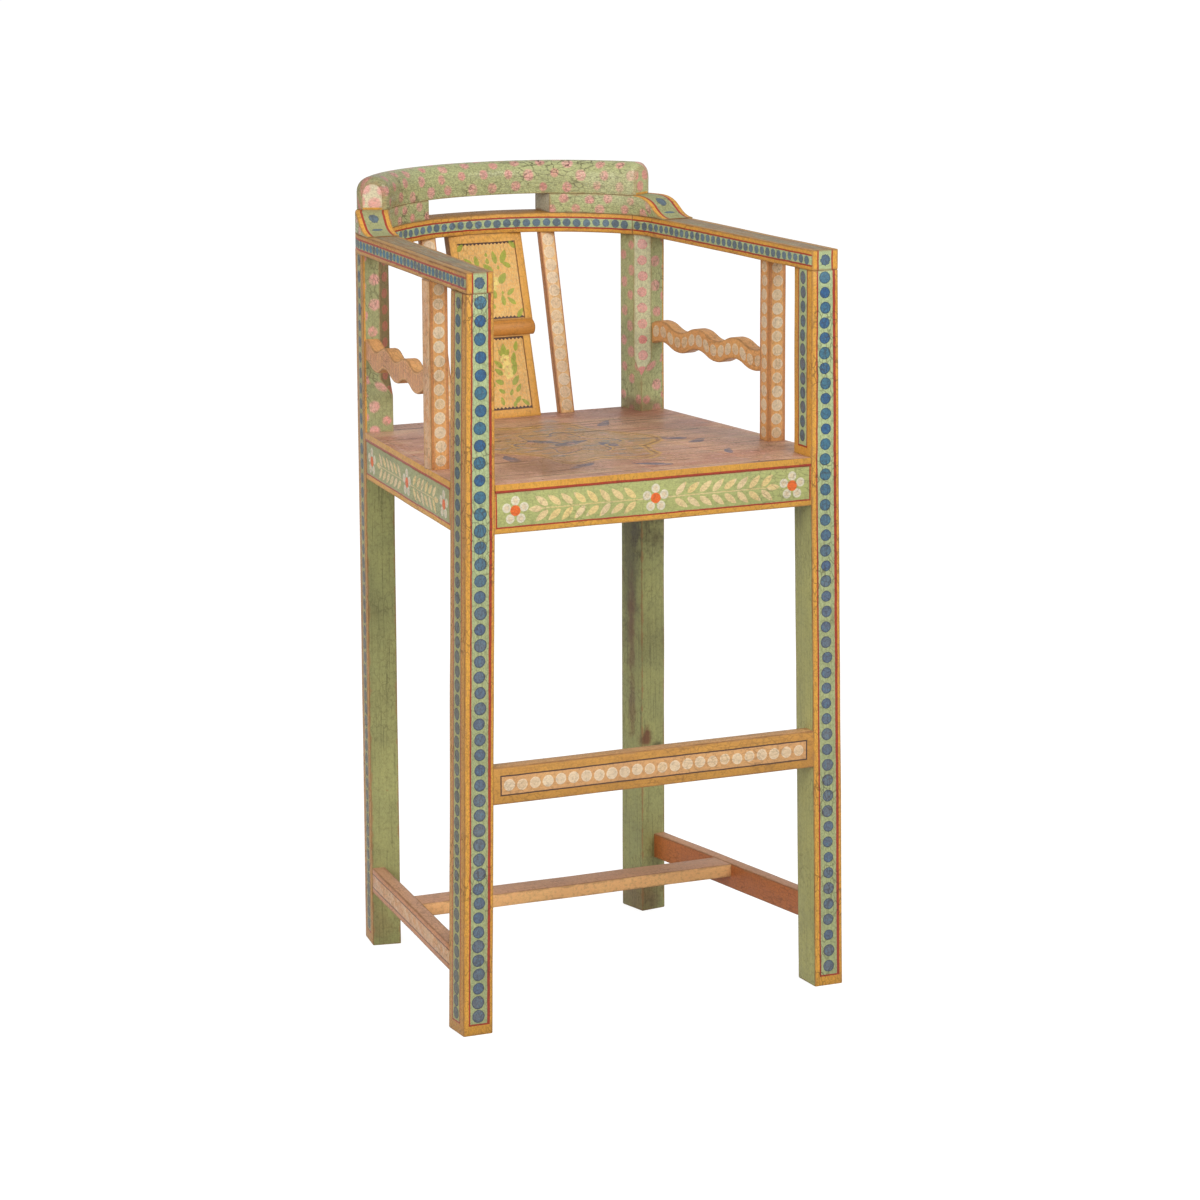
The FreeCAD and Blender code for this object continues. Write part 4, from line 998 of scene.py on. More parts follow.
@dataclass(frozen=True)
class RubbedFinish(Finish):
    """An arm's top: handled down to streaky grey-brown wood between two lines of ochre."""

    edge_width: float = 4.0
    band_width: float = 9.0
    line_place: float = 10.5

    def draw(self, graph: Graph, place: Place) -> tuple[Shade, Number]:
        """The streaks and the edge lines."""
        streak = graph.cloud(graph.spot(place.start * 14.0, place.left * 260.0), 1.0, 5.0, 0.65)
        broad = graph.cloud(graph.where(), 22.0, 4.0)
        colour = graph.mix(streak.fade(0.44, 0.6), self.coat.value, Paint.ARM_BROWN.value)
        colour = graph.mix(broad.fade(0.5, 0.72) * 0.5, colour, Paint.DULL_SAGE.value)
        hair = graph.cloud(graph.spot(place.start * 22.0, place.left * 620.0), 1.0, 3.0, 0.6)
        colour = graph.mix(hair.fade(0.54, 0.66) * 0.6, colour, Paint.EDGE_DIRT.value)
        colour = graph.mix(hair.fade(0.46, 0.34) * 0.5, colour, Paint.PALE_GREY.value)
        ragged = (streak - 0.5) * 9.0 * MM
        band = (place.left + ragged).within(self.band_width, 1.0) * (hair.fade(0.36, 0.6) * 0.45 + 0.4)
        colour = graph.mix(band, colour, Paint.OLD_OCHRE.value)
        line = (place.left - self.line_place * MM + ragged).size().within(1.1, 0.5)
        colour = graph.mix(line * 0.6, colour, Paint.EDGE_DIRT.value)
        rim = (place.right + ragged * 0.5).within(self.edge_width, 0.6)
        return graph.mix(rim * 0.9, colour, Paint.OLD_OCHRE.value), streak * 0.3


@dataclass(frozen=True)
class HatchFinish(Finish):
    """A field of faded strokes between lines, as on the outer faces of stretchers and wavy rails."""

    line: Paint = Paint.RUST
    ground: Paint = Paint.DEEP_PEACH
    light: Paint = Paint.CREAM
    border_width: float = 6.5
    line_width: float = 1.8
    slant: float = 0.4
    stroke: float = 6.0

    def draw(self, graph: Graph, place: Place) -> tuple[Shade, Number]:
        """The borders, the dark lines and the faded strokes."""
        edge = place.side_edge()
        past_border = edge.beyond(self.border_width, 0.4)
        past_line = edge.beyond(self.border_width + self.line_width, 0.4)
        stroke = ((place.start + place.left * self.slant) / (self.stroke * MM)).fraction()
        worn = graph.cloud(graph.where(), 70.0, 4.0, 0.65).fade(0.35, 0.6)
        light = (stroke - 0.5).size().fade(0.16, 0.3) * (worn * 0.7 + 0.2)
        field_coat = graph.mix(light, self.ground.value, self.light.value)
        colour = graph.mix(past_border, self.coat.value, self.line.value)
        return graph.mix(past_line, colour, field_coat), past_line * -0.3


@dataclass(frozen=True)
class IronFinish(Finish):
    """Nail and pin iron, browned by age."""

    def material(self) -> bpy.types.Material:
        """The metal, mottled with rust, which is written the first time that it is asked for."""
        if self.name in bpy.data.materials:
            return bpy.data.materials[self.name]
        material, graph, shader = blank_material(self.name)
        rust = graph.cloud(graph.where(), 900.0, 4.0, 0.65).fade(0.4, 0.65)
        graph.feed(shader.inputs["Base Color"], graph.mix(rust, self.coat.value, Paint.SIENNA.value))
        graph.feed(shader.inputs["Roughness"], rust * 0.3 + 0.5)
        shader.inputs["Metallic"].default_value = 0.7
        return material


# Finishes by where they are used
LEG_FRONT = BandFinish(
    "leg_front", Paint.SAGE, crackle=0.7, rub=0.45, grime=0.45, other_dot=Paint.DEEP_TEAL,
    low_dot=Paint.LAVENDER, low_coat=Paint.DULL_SAGE, heavy=Hem.RIGHT, foot=6.5, radius=7.5, pitch=20.0,
    gather=-0.05, margin=16.0, tail=0.0, close=Close.START)
LEFT_LEG_FRONT = replace(
    LEG_FRONT, name="left_leg_front", heavy=Hem.LEFT, radius=8.0, pitch=19.9, gather=0.115)
LEG_SIDE = BandFinish(
    "leg_side", Paint.BROWN_GREEN, crackle=0.7, rub=0.7, grime=0.7, border=Paint.OLD_OCHRE,
    dot=Paint.WORN_SLATE, other_dot=Paint.DARK_TEAL, low_dot=Paint.OLD_SLATE, glint=Paint.SLATE,
    border_width=11.0, foot=3.0, radius=7.6, pitch=18.4, gather=0.17, margin=18.0, seed=2.0,
    close=Close.START)
LEG_INNER = BandFinish(
    "leg_inner", Paint.SAGE, crackle=0.5, rub=0.4, grime=0.4, dot=Paint.SLATE, other_dot=Paint.LAVENDER,
    border_width=11.0, radius=6.8, pitch=18.5, oval=1.15, margin=16.0, seed=3.0, close=Close.START)
BACK_GREEN = Finish(
    "back_leg_green", Paint.BROWN_GREEN, crackle=0.35, rub=0.8, grime=1.3, shine=0.46, soil=0.2, stains=(
        # The two dark patches at the top of the back legs are partly soot and partly painted shade under the
        # seat.
        Stain((198, 145, 590), (48, 28, 130), Paint.SOOT, 0.9),
        Stain((174, 160, 520), (18, 30, 210), Paint.SOOT, 0.65),
        Stain((178, 158, 400), (14, 13, 100), Paint.RUST, 0.7),
        Stain((178, 156, 285), (14, 12, 60), Paint.RUST, 0.6),
        Stain((188, 136, 246), (12, 26, 24), Paint.RUST, 0.95),
        Stain((206, 136, 232), (14, 20, 9), Paint.SOOT, 0.7),
        Stain((186, 150, 20), (40, 60, 50), Paint.RUST, 0.6),
        Stain((-214, 140, 30), (40, 60, 40), Paint.RUST, 0.35)))
GREEN = Finish("plain_green", Paint.PLAIN_GREEN, crackle=0.3, rub=0.6, grime=0.95, shine=0.46)
POST_SPOTS = SpottedFinish(
    "post_spots", Paint.CREST_GREEN, crackle=0.6, rub=0.4, grime=0.6, soil=0.3, pitch=38.0, rows=16.0,
    radius=6.6, seed=1.0, stains=(
        # The olive patch at the top of the back posts is painted shade under the arms.
        Stain((0, 150, 945), (300, 80, 34), Paint.DARK_OLIVE, 0.7),
        Stain((180, 150, 706), (60, 60, 16), Paint.RUST, 0.6)))
# The left post has darker copies of the right post's paints, as painted shade.
LEFT_POST_SPOTS = replace(POST_SPOTS, name="left_post_spots", coat=Paint.DULL_SAGE)
POST_FRONT = replace(POST_SPOTS, name="post_front", hem=Hem.RIGHT, seed=21.0)
LEFT_POST_FRONT = replace(POST_FRONT, name="left_post_front", coat=Paint.DULL_SAGE)
POST_COLUMN = BandFinish(
    "post_column", Paint.PALE_CELADON, crackle=0.5, rub=0.3, grime=0.25, shine=0.6, soil=0.2,
    border=Paint.PALE_CELADON, line=Paint.PALE_CELADON, dot=Paint.PINK, other_dot=Paint.PALE_PINK,
    glint=Paint.PALE_PINK, rim=Paint.PINK, radius=6.4, pitch=21.0, ragged=3.0, relief=0.2, seed=4.0)
# The left post's column in olive and rose brown is painted shade from the arm and the crest.
SHADED_COLUMN = replace(
    POST_COLUMN, name="dark_column", coat=Paint.DARK_OLIVE, border=Paint.DARK_OLIVE, line=Paint.DARK_OLIVE,
    dot=Paint.ROSE_BROWN, other_dot=Paint.ROSE_BROWN, glint=Paint.ROSE_BROWN, rim=Paint.ROSE_BROWN, grime=0.6)
CREST_SPOTS = SpottedFinish(
    "crest_spots", Paint.CREST_GREEN, crackle=1.0, rub=0.5, grime=0.55, shine=0.74, soil=0.0, pitch=38.0,
    rows=17.0, radius=6.9, seed=6.0, stains=(
        Stain((-215, 190, 1010), (110, 120, 70), Paint.RUST, 0.42),
        # The pale patch on the crest's right is a painted highlight, which the risers keep too.
        Stain((190, 150, 1000), (110, 120, 34), Paint.PALE_CELADON, 0.4)))
# The crest's two end faces are lit and shaded copies of one paint: painted light on the pale left end,
# painted shade on the dark right end.
CREST_END = SpottedFinish(
    "crest_end", Paint.PALE_BLUSH, crackle=0.5, rub=0.4, grime=0.25, shine=0.6, soil=0.0,
    dot=Paint.PALE_PINK, other_dot=Paint.PINK, pitch=22.0, rows=18.0, radius=7.4, hem=Hem.LEFT)
SHADED_CREST_END = replace(
    CREST_END, name="dark_crest_end", coat=Paint.CREST_GREEN, dot=Paint.PINK, grime=0.9, seed=3.0)
RISER_SPOTS = replace(
    CREST_SPOTS, name="riser_spots", shine=0.6, soil=0.25, pitch=34.0, rows=13.0, radius=6.4, seed=8.0)
RISER_END = Finish("riser_end", Paint.PALE_GREY, crackle=0.7, rub=0.6, grime=0.4)
RAMP = RampFinish(
    "ramp", Paint.DULL_SAGE, crackle=0.4, rub=0.5, grime=0.4, border_width=6.0, line_width=3.0,
    dot=Paint.SLATE, other_dot=Paint.SLATE, glint=Paint.SOFT_SLATE, rim=Paint.WORN_SLATE, seed=9.0)
ARM_INNER = BandFinish(
    "arm_inner", Paint.SAGE, crackle=0.5, rub=0.6, grime=0.4, dot=Paint.SOFT_SLATE,
    other_dot=Paint.SLATE, glint=Paint.SOFT_TEAL, rim=Paint.SLATE, border_width=4.8, radius=5.3, pitch=13.4,
    margin=6.0, ragged=2.0, seed=10.0)
ARM_OUTER = replace(
    ARM_INNER, name="arm_outer", coat=Paint.DULL_SAGE, dot=Paint.DEEP_TEAL, other_dot=Paint.WORN_SLATE,
    glint=Paint.TEAL, rim=Paint.DARK_SLATE, line_width=2.6, oval=1.1, grime=0.8, border=Paint.OLD_OCHRE)
ARM_END = BandFinish(
    "arm_end", Paint.SAGE, crackle=0.4, rub=0.5, grime=0.3, dot=Paint.SLATE, other_dot=Paint.COBALT,
    radius=7.0, pitch=26.0, margin=0.0, tail=0.0, ragged=5.0, seed=11.0)
ARM_TOP = RubbedFinish("arm_top", Paint.ARM_GREY, crackle=0.3, rub=0.8, grime=0.7, shine=0.5)
OCHRE_PLAIN = Finish("ochre_plain", Paint.OLD_OCHRE, crackle=0.5, rub=0.6, grime=0.55)
OCHRE_EDGE = EdgeFinish("ochre_edge", Paint.OCHRE, crackle=0.35, rub=0.3, grime=0.3, line_top=692.5)
RAIL_PANEL = GarlandFinish("rail_panel", Paint.RAIL_GREEN, crackle=0.45, rub=0.4, grime=0.45)
SIDE_PANEL = GarlandFinish(
    "side_rail_panel", Paint.DULL_SAGE, crackle=0.5, rub=0.5, grime=0.55, leaves=6)
BACK_PANEL = BandFinish(
    "back_rail_panel", Paint.SAGE, crackle=0.6, rub=0.6, grime=0.6, dot=Paint.WHITE, other_dot=Paint.CREAM,
    glint=Paint.WHITE, rim=Paint.CREAM, radius=5.0, pitch=22.0, margin=14.0, tail=14.0,
    close=Close.BOTH, seed=12.0)
# The pale cream rim of each raised dot is a painted highlight, which the slats, the wavy rails' inner faces
# and the footrest keep too.
BEADS = BandFinish(
    "support_beads", Paint.PEACH, crackle=0.35, rub=0.5, grime=0.3, border=Paint.DEEP_PEACH,
    line=Paint.TERRACOTTA, dot=Paint.WARM_CREAM, other_dot=Paint.CREAM, glint=Paint.CREAM,
    rim=Paint.BRIGHT_CREAM, border_width=2.8, line_width=1.2, radius=7.3, pitch=18.2, margin=3.0, tail=3.0,
    relief=0.6, seed=15.0)
SUPPORT_OUTER = HatchFinish(
    "support_outer", Paint.PALE_PEACH, crackle=0.4, rub=0.9, grime=0.6, line=Paint.TAN, border_width=1.5,
    slant=60.0, stroke=220.0)
SLAT_FRONT = replace(
    BEADS, name="slat_front", coat=Paint.PALE_PEACH, border=Paint.TERRACOTTA, line=Paint.PALE_PEACH,
    grime=0.25, border_width=1.8, pitch=17.6, radius=8.0, seed=14.0)
WAVY_INNER = replace(
    BEADS, name="wavy_inner", border=Paint.PEACH, line=Paint.PEACH, grime=0.2, radius=7.6, pitch=18.5,
    seed=16.0)
FOOTREST_FRONT = replace(
    BEADS, name="footrest_front", coat=Paint.TAN, rub=0.7, grime=0.6, border=Paint.OLD_OCHRE,
    line=Paint.DARK_LINE, border_width=10.5, line_width=1.8, radius=7.2, pitch=17.4, margin=14.0,
    tail=14.0, relief=0.3, close=Close.BOTH, seed=13.0)
FOOTREST_TOP = Finish("footrest_top", Paint.TAN, crackle=0.4, rub=0.9, grime=0.6)
SLAT_SIDE = Finish("slat_side", Paint.DEEP_PEACH, crackle=0.5, rub=0.6, grime=0.5)
WAVY_OUTER = HatchFinish(
    "wavy_outer", Paint.PEACH, crackle=0.5, rub=0.6, grime=0.5, line=Paint.PEACH,
    ground=Paint.TERRACOTTA, light=Paint.PEACH, border_width=1.0, slant=0.0, stroke=8.0)
WAVY_TOP = Finish("wavy_top", Paint.PEACH, crackle=0.4, rub=0.7, grime=0.4)
STRETCHER_OUTER = HatchFinish("stretcher_outer", Paint.TERRACOTTA, crackle=0.4, rub=0.8, grime=0.5)
STRETCHER_TOP = Finish("stretcher_top", Paint.ROSE_TAN, crackle=0.4, rub=0.9, grime=0.6)
STRETCHER_INNER = Finish("stretcher_inner", Paint.BURNT_ORANGE, crackle=0.4, rub=0.6, grime=0.5)
CROSS_FRONT = Finish("cross_front", Paint.GLOW_PEACH, crackle=0.15, rub=0.8, grime=0.2, soil=0.5)
SEAT_TOP = SeatFinish(
    "seat_top", Paint.MAUVE, crackle=0.4, rub=0.8, grime=0.3, shine=0.6, stains=(
        Stain((-105, -195, 700), (80, 95, 40), Paint.RUST, 0.5),
        Stain((175, 120, 700), (60, 60, 40), Paint.ROSE_BROWN, 0.5)))
MOULDING = Finish("splat_moulding_paint", Paint.AMBER, crackle=0.3, rub=0.5, grime=0.6)
PEACH_BACK = Finish("peach_back", Paint.PEACH, crackle=0.5, rub=0.5, grime=0.6)
BARE = Finish("bare_wood", Paint.BARE_WOOD, crackle=0.0, rub=0.3, grime=0.6, shine=0.3)
IRON = IronFinish("old_iron", Paint.IRON)
SPLAT_UPPER = SplatFinish(
    "splat_upper", Paint.SPLAT_PEACH, crackle=0.3, rub=0.4, grime=0.35,
    sprays=(
        Spray(-28.6, 20.3, 135, 14, 6.5), Spray(-17, 21, 100, 14, 6.5), Spray(-1.8, 29, 90, 5, 4),
        Spray(-1.2, 20.7, 90, 7, 5), Spray(9.5, 25, 100, 15, 6.5), Spray(22.9, 26, 65, 17, 8),
        Spray(26.2, 15, 150, 12, 6), Spray(13.7, 12, 90, 5, 4), Spray(-1.3, 10, 130, 17, 10),
        Spray(17.7, -2.3, 50, 15, 9), Spray(-0.3, -20.5, 130, 16, 10), Spray(15.5, -21, 90, 4, 3.5),
        Spray(15, -30.4, 95, 13, 6), Spray(27.6, -20, 35, 12, 5.5), Spray(26.8, -32, 140, 13, 5.5),
        Spray(0.3, -38, 90, 6, 4), Spray(-18, -2, 130, 14, 8), Spray(-15, -30, 85, 13, 6),
        Spray(-27, -20, 145, 12, 5.5), Spray(-27, -32, 40, 13, 5.5), Spray(-38, 40, 45, 12, 6),
        Spray(38, 41, 135, 12, 6), Spray(37, -48, 50, 13, 6), Spray(-37, -48, 130, 13, 6)),
    flowers=((1, 0.5), (5, -5.5), (1.2, -12)))
SPLAT_LOWER = SplatFinish(
    "splat_lower", Paint.SPLAT_PEACH, crackle=0.3, rub=0.4, grime=0.4, moulded=Close.END,
    sprays=(
        Spray(5, 34.5, 85, 15, 8), Spray(0, 31, 120, 9, 5), Spray(10, 31, 60, 9, 5),
        Spray(23.5, 39, 75, 12, 6), Spray(-5.3, 17, 140, 13, 6.5), Spray(-6, 7, 145, 12, 6.5),
        Spray(-6.6, -6, 160, 11, 6.5), Spray(17.8, 23, 75, 15, 7), Spray(17, 10, 65, 17, 8),
        Spray(17, -5, 50, 14, 7), Spray(20, -15, 55, 11, 5.5), Spray(-5.3, -18, 150, 9, 5),
        Spray(8.7, -20, 60, 8, 4.5), Spray(17, -30, 45, 11, 5.5), Spray(-6, -31, 100, 10, 5),
        Spray(27, -34, 140, 12, 5), Spray(12, -35, 60, 9, 4.5), Spray(-18, 23, 105, 14, 6.5),
        Spray(-19, 9, 115, 15, 7), Spray(-19, -6, 130, 13, 6.5), Spray(-21, -19, 125, 11, 5.5),
        Spray(-24, -33, 45, 11, 5)),
    flowers=((5.5, 22), (7.3, 12.5), (8, 4)))


class Side(Enum):
    """The chair's two sides, by the sign of their X."""

    LEFT = -1
    RIGHT = 1

    @property
    def tag(self) -> str:
        """The side as the solids' names write it."""
        return self.name.lower()


@dataclass(frozen=True)
class Plan:
    """The main sizes of the chair in millimetres, as the solids have them."""

    seat_height: float = 700.0
    seat_thickness: float = 10.0
    rail_height: float = 52.0
    rail_thickness: float = 22.0
    side_length: float = 379.0
    front_width: float = 510.0
    front_splay: float = 14.0
    front_leg_width: float = 40.0
    front_leg_depth: float = 48.0
    back_width: float = 436.0
    back_leg_width: float = 38.0
    back_leg_depth: float = 48.0
    back_leg_turn: float = math.radians(10.0)
    arm_height: float = 964.0
    arm_thickness: float = 26.0
    arm_front_width: float = 37.0
    bow_overhang: float = 100.0

    @property
    def arm_under(self) -> float:
        """The level of the arms' underside."""
        return self.arm_height - self.arm_thickness

    @property
    def rail_top(self) -> float:
        """The level of the rails' top, under the seat board."""
        return self.seat_height - self.seat_thickness

    @property
    def rail_bottom(self) -> float:
        """The level of the rails' underside."""
        return self.rail_top - self.rail_height

    @property
    def half_depth(self) -> float:
        """Half of the chair's overall depth."""
        legs = self.front_leg_depth + self.back_leg_depth * math.cos(self.back_leg_turn)
        return (legs + self.side_length + self.bow_overhang) / 2

    @property
    def front_y(self) -> float:
        """The front legs' front face."""
        return -self.half_depth

    @property
    def leg_back_y(self) -> float:
        """The front legs' back face."""
        return self.front_y + self.front_leg_depth

    @property
    def back_leg_y(self) -> float:
        """The outer front corner of the back legs."""
        return self.leg_back_y + self.side_length

    @property
    def back_edge_y(self) -> float:
        """The seat's back edge."""
        turn = self.back_leg_turn
        return self.back_leg_y - self.back_leg_width * math.sin(turn) + self.back_leg_depth * math.cos(turn)

    def leg_outer(self, level: float) -> float:
        """A front leg's outer face at a level."""
        return self.front_width / 2 + self.front_splay * (1 - level / self.arm_under)

    def leg_inner(self, level: float) -> float:
        """A front leg's inner face at a level: parallel up to the seat, then tapering in."""
        if level <= self.seat_height:
            return self.leg_outer(level) - self.front_leg_width
        share = (level - self.seat_height) / (self.arm_under - self.seat_height)
        at_seat = self.leg_outer(self.seat_height) - self.front_leg_width
        return at_seat + (self.front_width / 2 - self.arm_front_width - at_seat) * share

    def back_leg_point(self, across: float, along: float) -> tuple[float, float]:
        """A point of the right back leg's plan, from its outer front corner."""
        turn = self.back_leg_turn
        x = self.back_width / 2 - across * math.cos(turn) - along * math.sin(turn)
        return x, self.back_leg_y - across * math.sin(turn) + along * math.cos(turn)

    def back_leg_inner(self, y: float) -> float:
        """The right back leg's inner face at a depth."""
        turn = self.back_leg_turn
        face = self.back_width / 2 - self.back_leg_width * math.cos(turn)
        return face - (y - self.back_leg_y + self.back_leg_width * math.sin(turn)) * math.tan(turn)

    def side_outer(self, level: float, y: float) -> float:
        """The outer face of a side member at a level and a depth."""
        front = self.leg_outer(level)
        return front + (self.back_width / 2 - front) * (y - self.leg_back_y) / self.side_length


PLAN = Plan()


class BowLine:
    """The middle line of the bow: a main arc, two corner arcs, and the arms that run on from them."""

    def __init__(self, plan: Plan, width: float = 44.0, corner_radius: float = 130.0,
                 bow_angle: float = 48.0, crest_turn: float = 14.0, slot_angle: float = 24.0) -> None:
        """Works out the arcs, so that the corners pass over the middles of the back legs.

        Args:
            plan: the chair's main sizes.
            width: the bow's width.
            corner_radius: the corner arcs' radius.
            bow_angle: where the main arc ends, in degrees from the middle of the back.
            crest_turn: how far past that the crest ends.
            slot_angle: where the slot under the crest ends.
        """
        self.plan = plan
        self.half = width / 2
        self.corner_radius = corner_radius
        self.bow_angle = bow_angle
        self.slot_angle = slot_angle
        self.crest_angle = bow_angle + crest_turn
        turn = math.radians(bow_angle)
        post_x, post_y = plan.back_leg_point(plan.back_leg_width / 2, plan.back_leg_depth / 2)
        back_y = plan.half_depth - self.half
        behind = back_y - post_y
        drop = 1 - math.cos(turn)
        reach = post_x * math.sin(turn) - (corner_radius - behind) * drop
        rest = post_x ** 2 + behind ** 2 - 2 * corner_radius * behind
        step = (reach - math.sqrt(reach ** 2 - 2 * drop * rest)) / (2 * drop)
        self.radius = corner_radius + step
        self.centre_y = back_y - self.radius
        self.corner_x = step * math.sin(turn)
        self.corner_y = self.centre_y + step * math.cos(turn)
        run = self.corner_y - plan.front_y
        shift = plan.front_width / 2 - plan.arm_front_width / 2 - self.corner_x
        self.arm_angle = 90 + math.degrees(
            math.atan(run / shift) - math.acos(corner_radius / math.hypot(run, shift)))
        self.joint_angle = math.degrees(math.atan((post_x - self.corner_x) / (post_y - self.corner_y)))

    def point(self, offset: float, angle: float) -> tuple[float, float]:
        """A point of the plan.

        Args:
            offset: the distance outwards from the middle line.
            angle: the angle from the middle of the back, in degrees, positive to the right.

        Returns:
            Its X and Y.
        """
        turn = math.radians(abs(angle))
        sign = math.copysign(1, angle)
        if abs(angle) <= self.bow_angle:
            radius = self.radius + offset
            return sign * radius * math.sin(turn), self.centre_y + radius * math.cos(turn)
        radius = self.corner_radius + offset
        x = self.corner_x + radius * math.sin(turn)
        return sign * x, self.corner_y + radius * math.cos(turn)

    def arm_point(self, offset: float, distance: float) -> tuple[float, float]:
        """A point of the right arm, at a distance past the end of the corner arc."""
        x, y = self.point(offset, self.arm_angle)
        turn = math.radians(self.arm_angle)
        return x + distance * math.cos(turn), y - distance * math.sin(turn)

    def past_corner(self, x: float, y: float) -> float:
        """How far along the arm a point of the right side is, from the end of the corner arc."""
        turn = math.radians(self.arm_angle)
        return (x - self.corner_x) * math.cos(turn) - (y - self.corner_y) * math.sin(turn)


BOW = BowLine(PLAN)
Section = list[Vector]


def steps(first: float, last: float, count: int) -> list[float]:
    """Evenly spaced numbers from the first to the last, both included."""
    return [first + (last - first) * number / count for number in range(count + 1)]


def divided(sections: Sequence[Section], length: float = 24.0) -> list[Section]:
    """Sections with more between them, no further apart than a length."""
    result = [sections[0]]
    for before, after in zip(sections, sections[1:]):
        gap = max((b - a).length for a, b in zip(before, after))
        count = max(1, math.ceil(gap / length))
        for share in steps(0.0, 1.0, count)[1:]:
            result.append([a.lerp(b, share) for a, b in zip(before, after)])
    return result


def always(_: Vector) -> bool:
    """A test that every place passes."""
    return True


@dataclass(frozen=True)
class Zone:
    """A finish, and the stretch of a timber's face that has it."""

    finish: Finish
    test: Test = always


def leave_edit_mode() -> None:
    """Goes back to object mode."""
    bpy.ops.object.mode_set(mode="OBJECT")


def enter_edit_mode(piece: bpy.types.Object) -> None:
    """Opens one piece for editing, with all of it selected."""
    bpy.ops.object.select_all(action="DESELECT")
    piece.select_set(True)
    bpy.context.view_layer.objects.active = piece
    bpy.ops.object.mode_set(mode="EDIT")
    bpy.ops.mesh.select_all(action="SELECT")


def slot_number(piece: bpy.types.Object, finish: Finish) -> int:
    """The number of a finish among a piece's materials, added where it is new."""
    material = finish.material()
    if material.name not in piece.data.materials:
        piece.data.materials.append(material)
    return piece.data.materials.find(material.name)


def fresh_maps(mesh: bpy.types.Mesh) -> tuple[bpy.types.MeshUVLoopLayer, bpy.types.MeshUVLoopLayer]:
    """A mesh's two maps, run and across, in place of the ones that it had."""
    for layer in list(mesh.uv_layers):
        mesh.uv_layers.remove(layer)
    for name in ("run", "across"):
        mesh.uv_layers.new(name=name)
    return mesh.uv_layers["run"], mesh.uv_layers["across"]


def refinish(node: str, finish: Finish) -> None:
    """Gives a solid that stays as it is its finish."""
    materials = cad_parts[node].data.materials
    materials.clear()
    materials.append(finish.material())


def settle(piece: bpy.types.Object, node: str, smooth_angle: float = 40.0) -> bpy.types.Object:
    """Closes a piece's mesh, shades it, and ties it to the frame.

    Args:
        piece: the new piece.
        node: the solid that it stands for.
        smooth_angle: edges sharper than this stay sharp, in degrees.

    Returns:
        The piece.
    """
    enter_edit_mode(piece)
    bpy.ops.mesh.remove_doubles(threshold=SHAPED_MERGE)
    bpy.ops.mesh.select_all(action="SELECT")
    bpy.ops.mesh.normals_make_consistent(inside=False)
    leave_edit_mode()
    bpy.ops.object.shade_smooth_by_angle(angle=math.radians(smooth_angle))
    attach(piece, "root")
    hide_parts(node)
    LOG.info("%s: %d faces", piece.name, len(piece.data.polygons))
    return piece


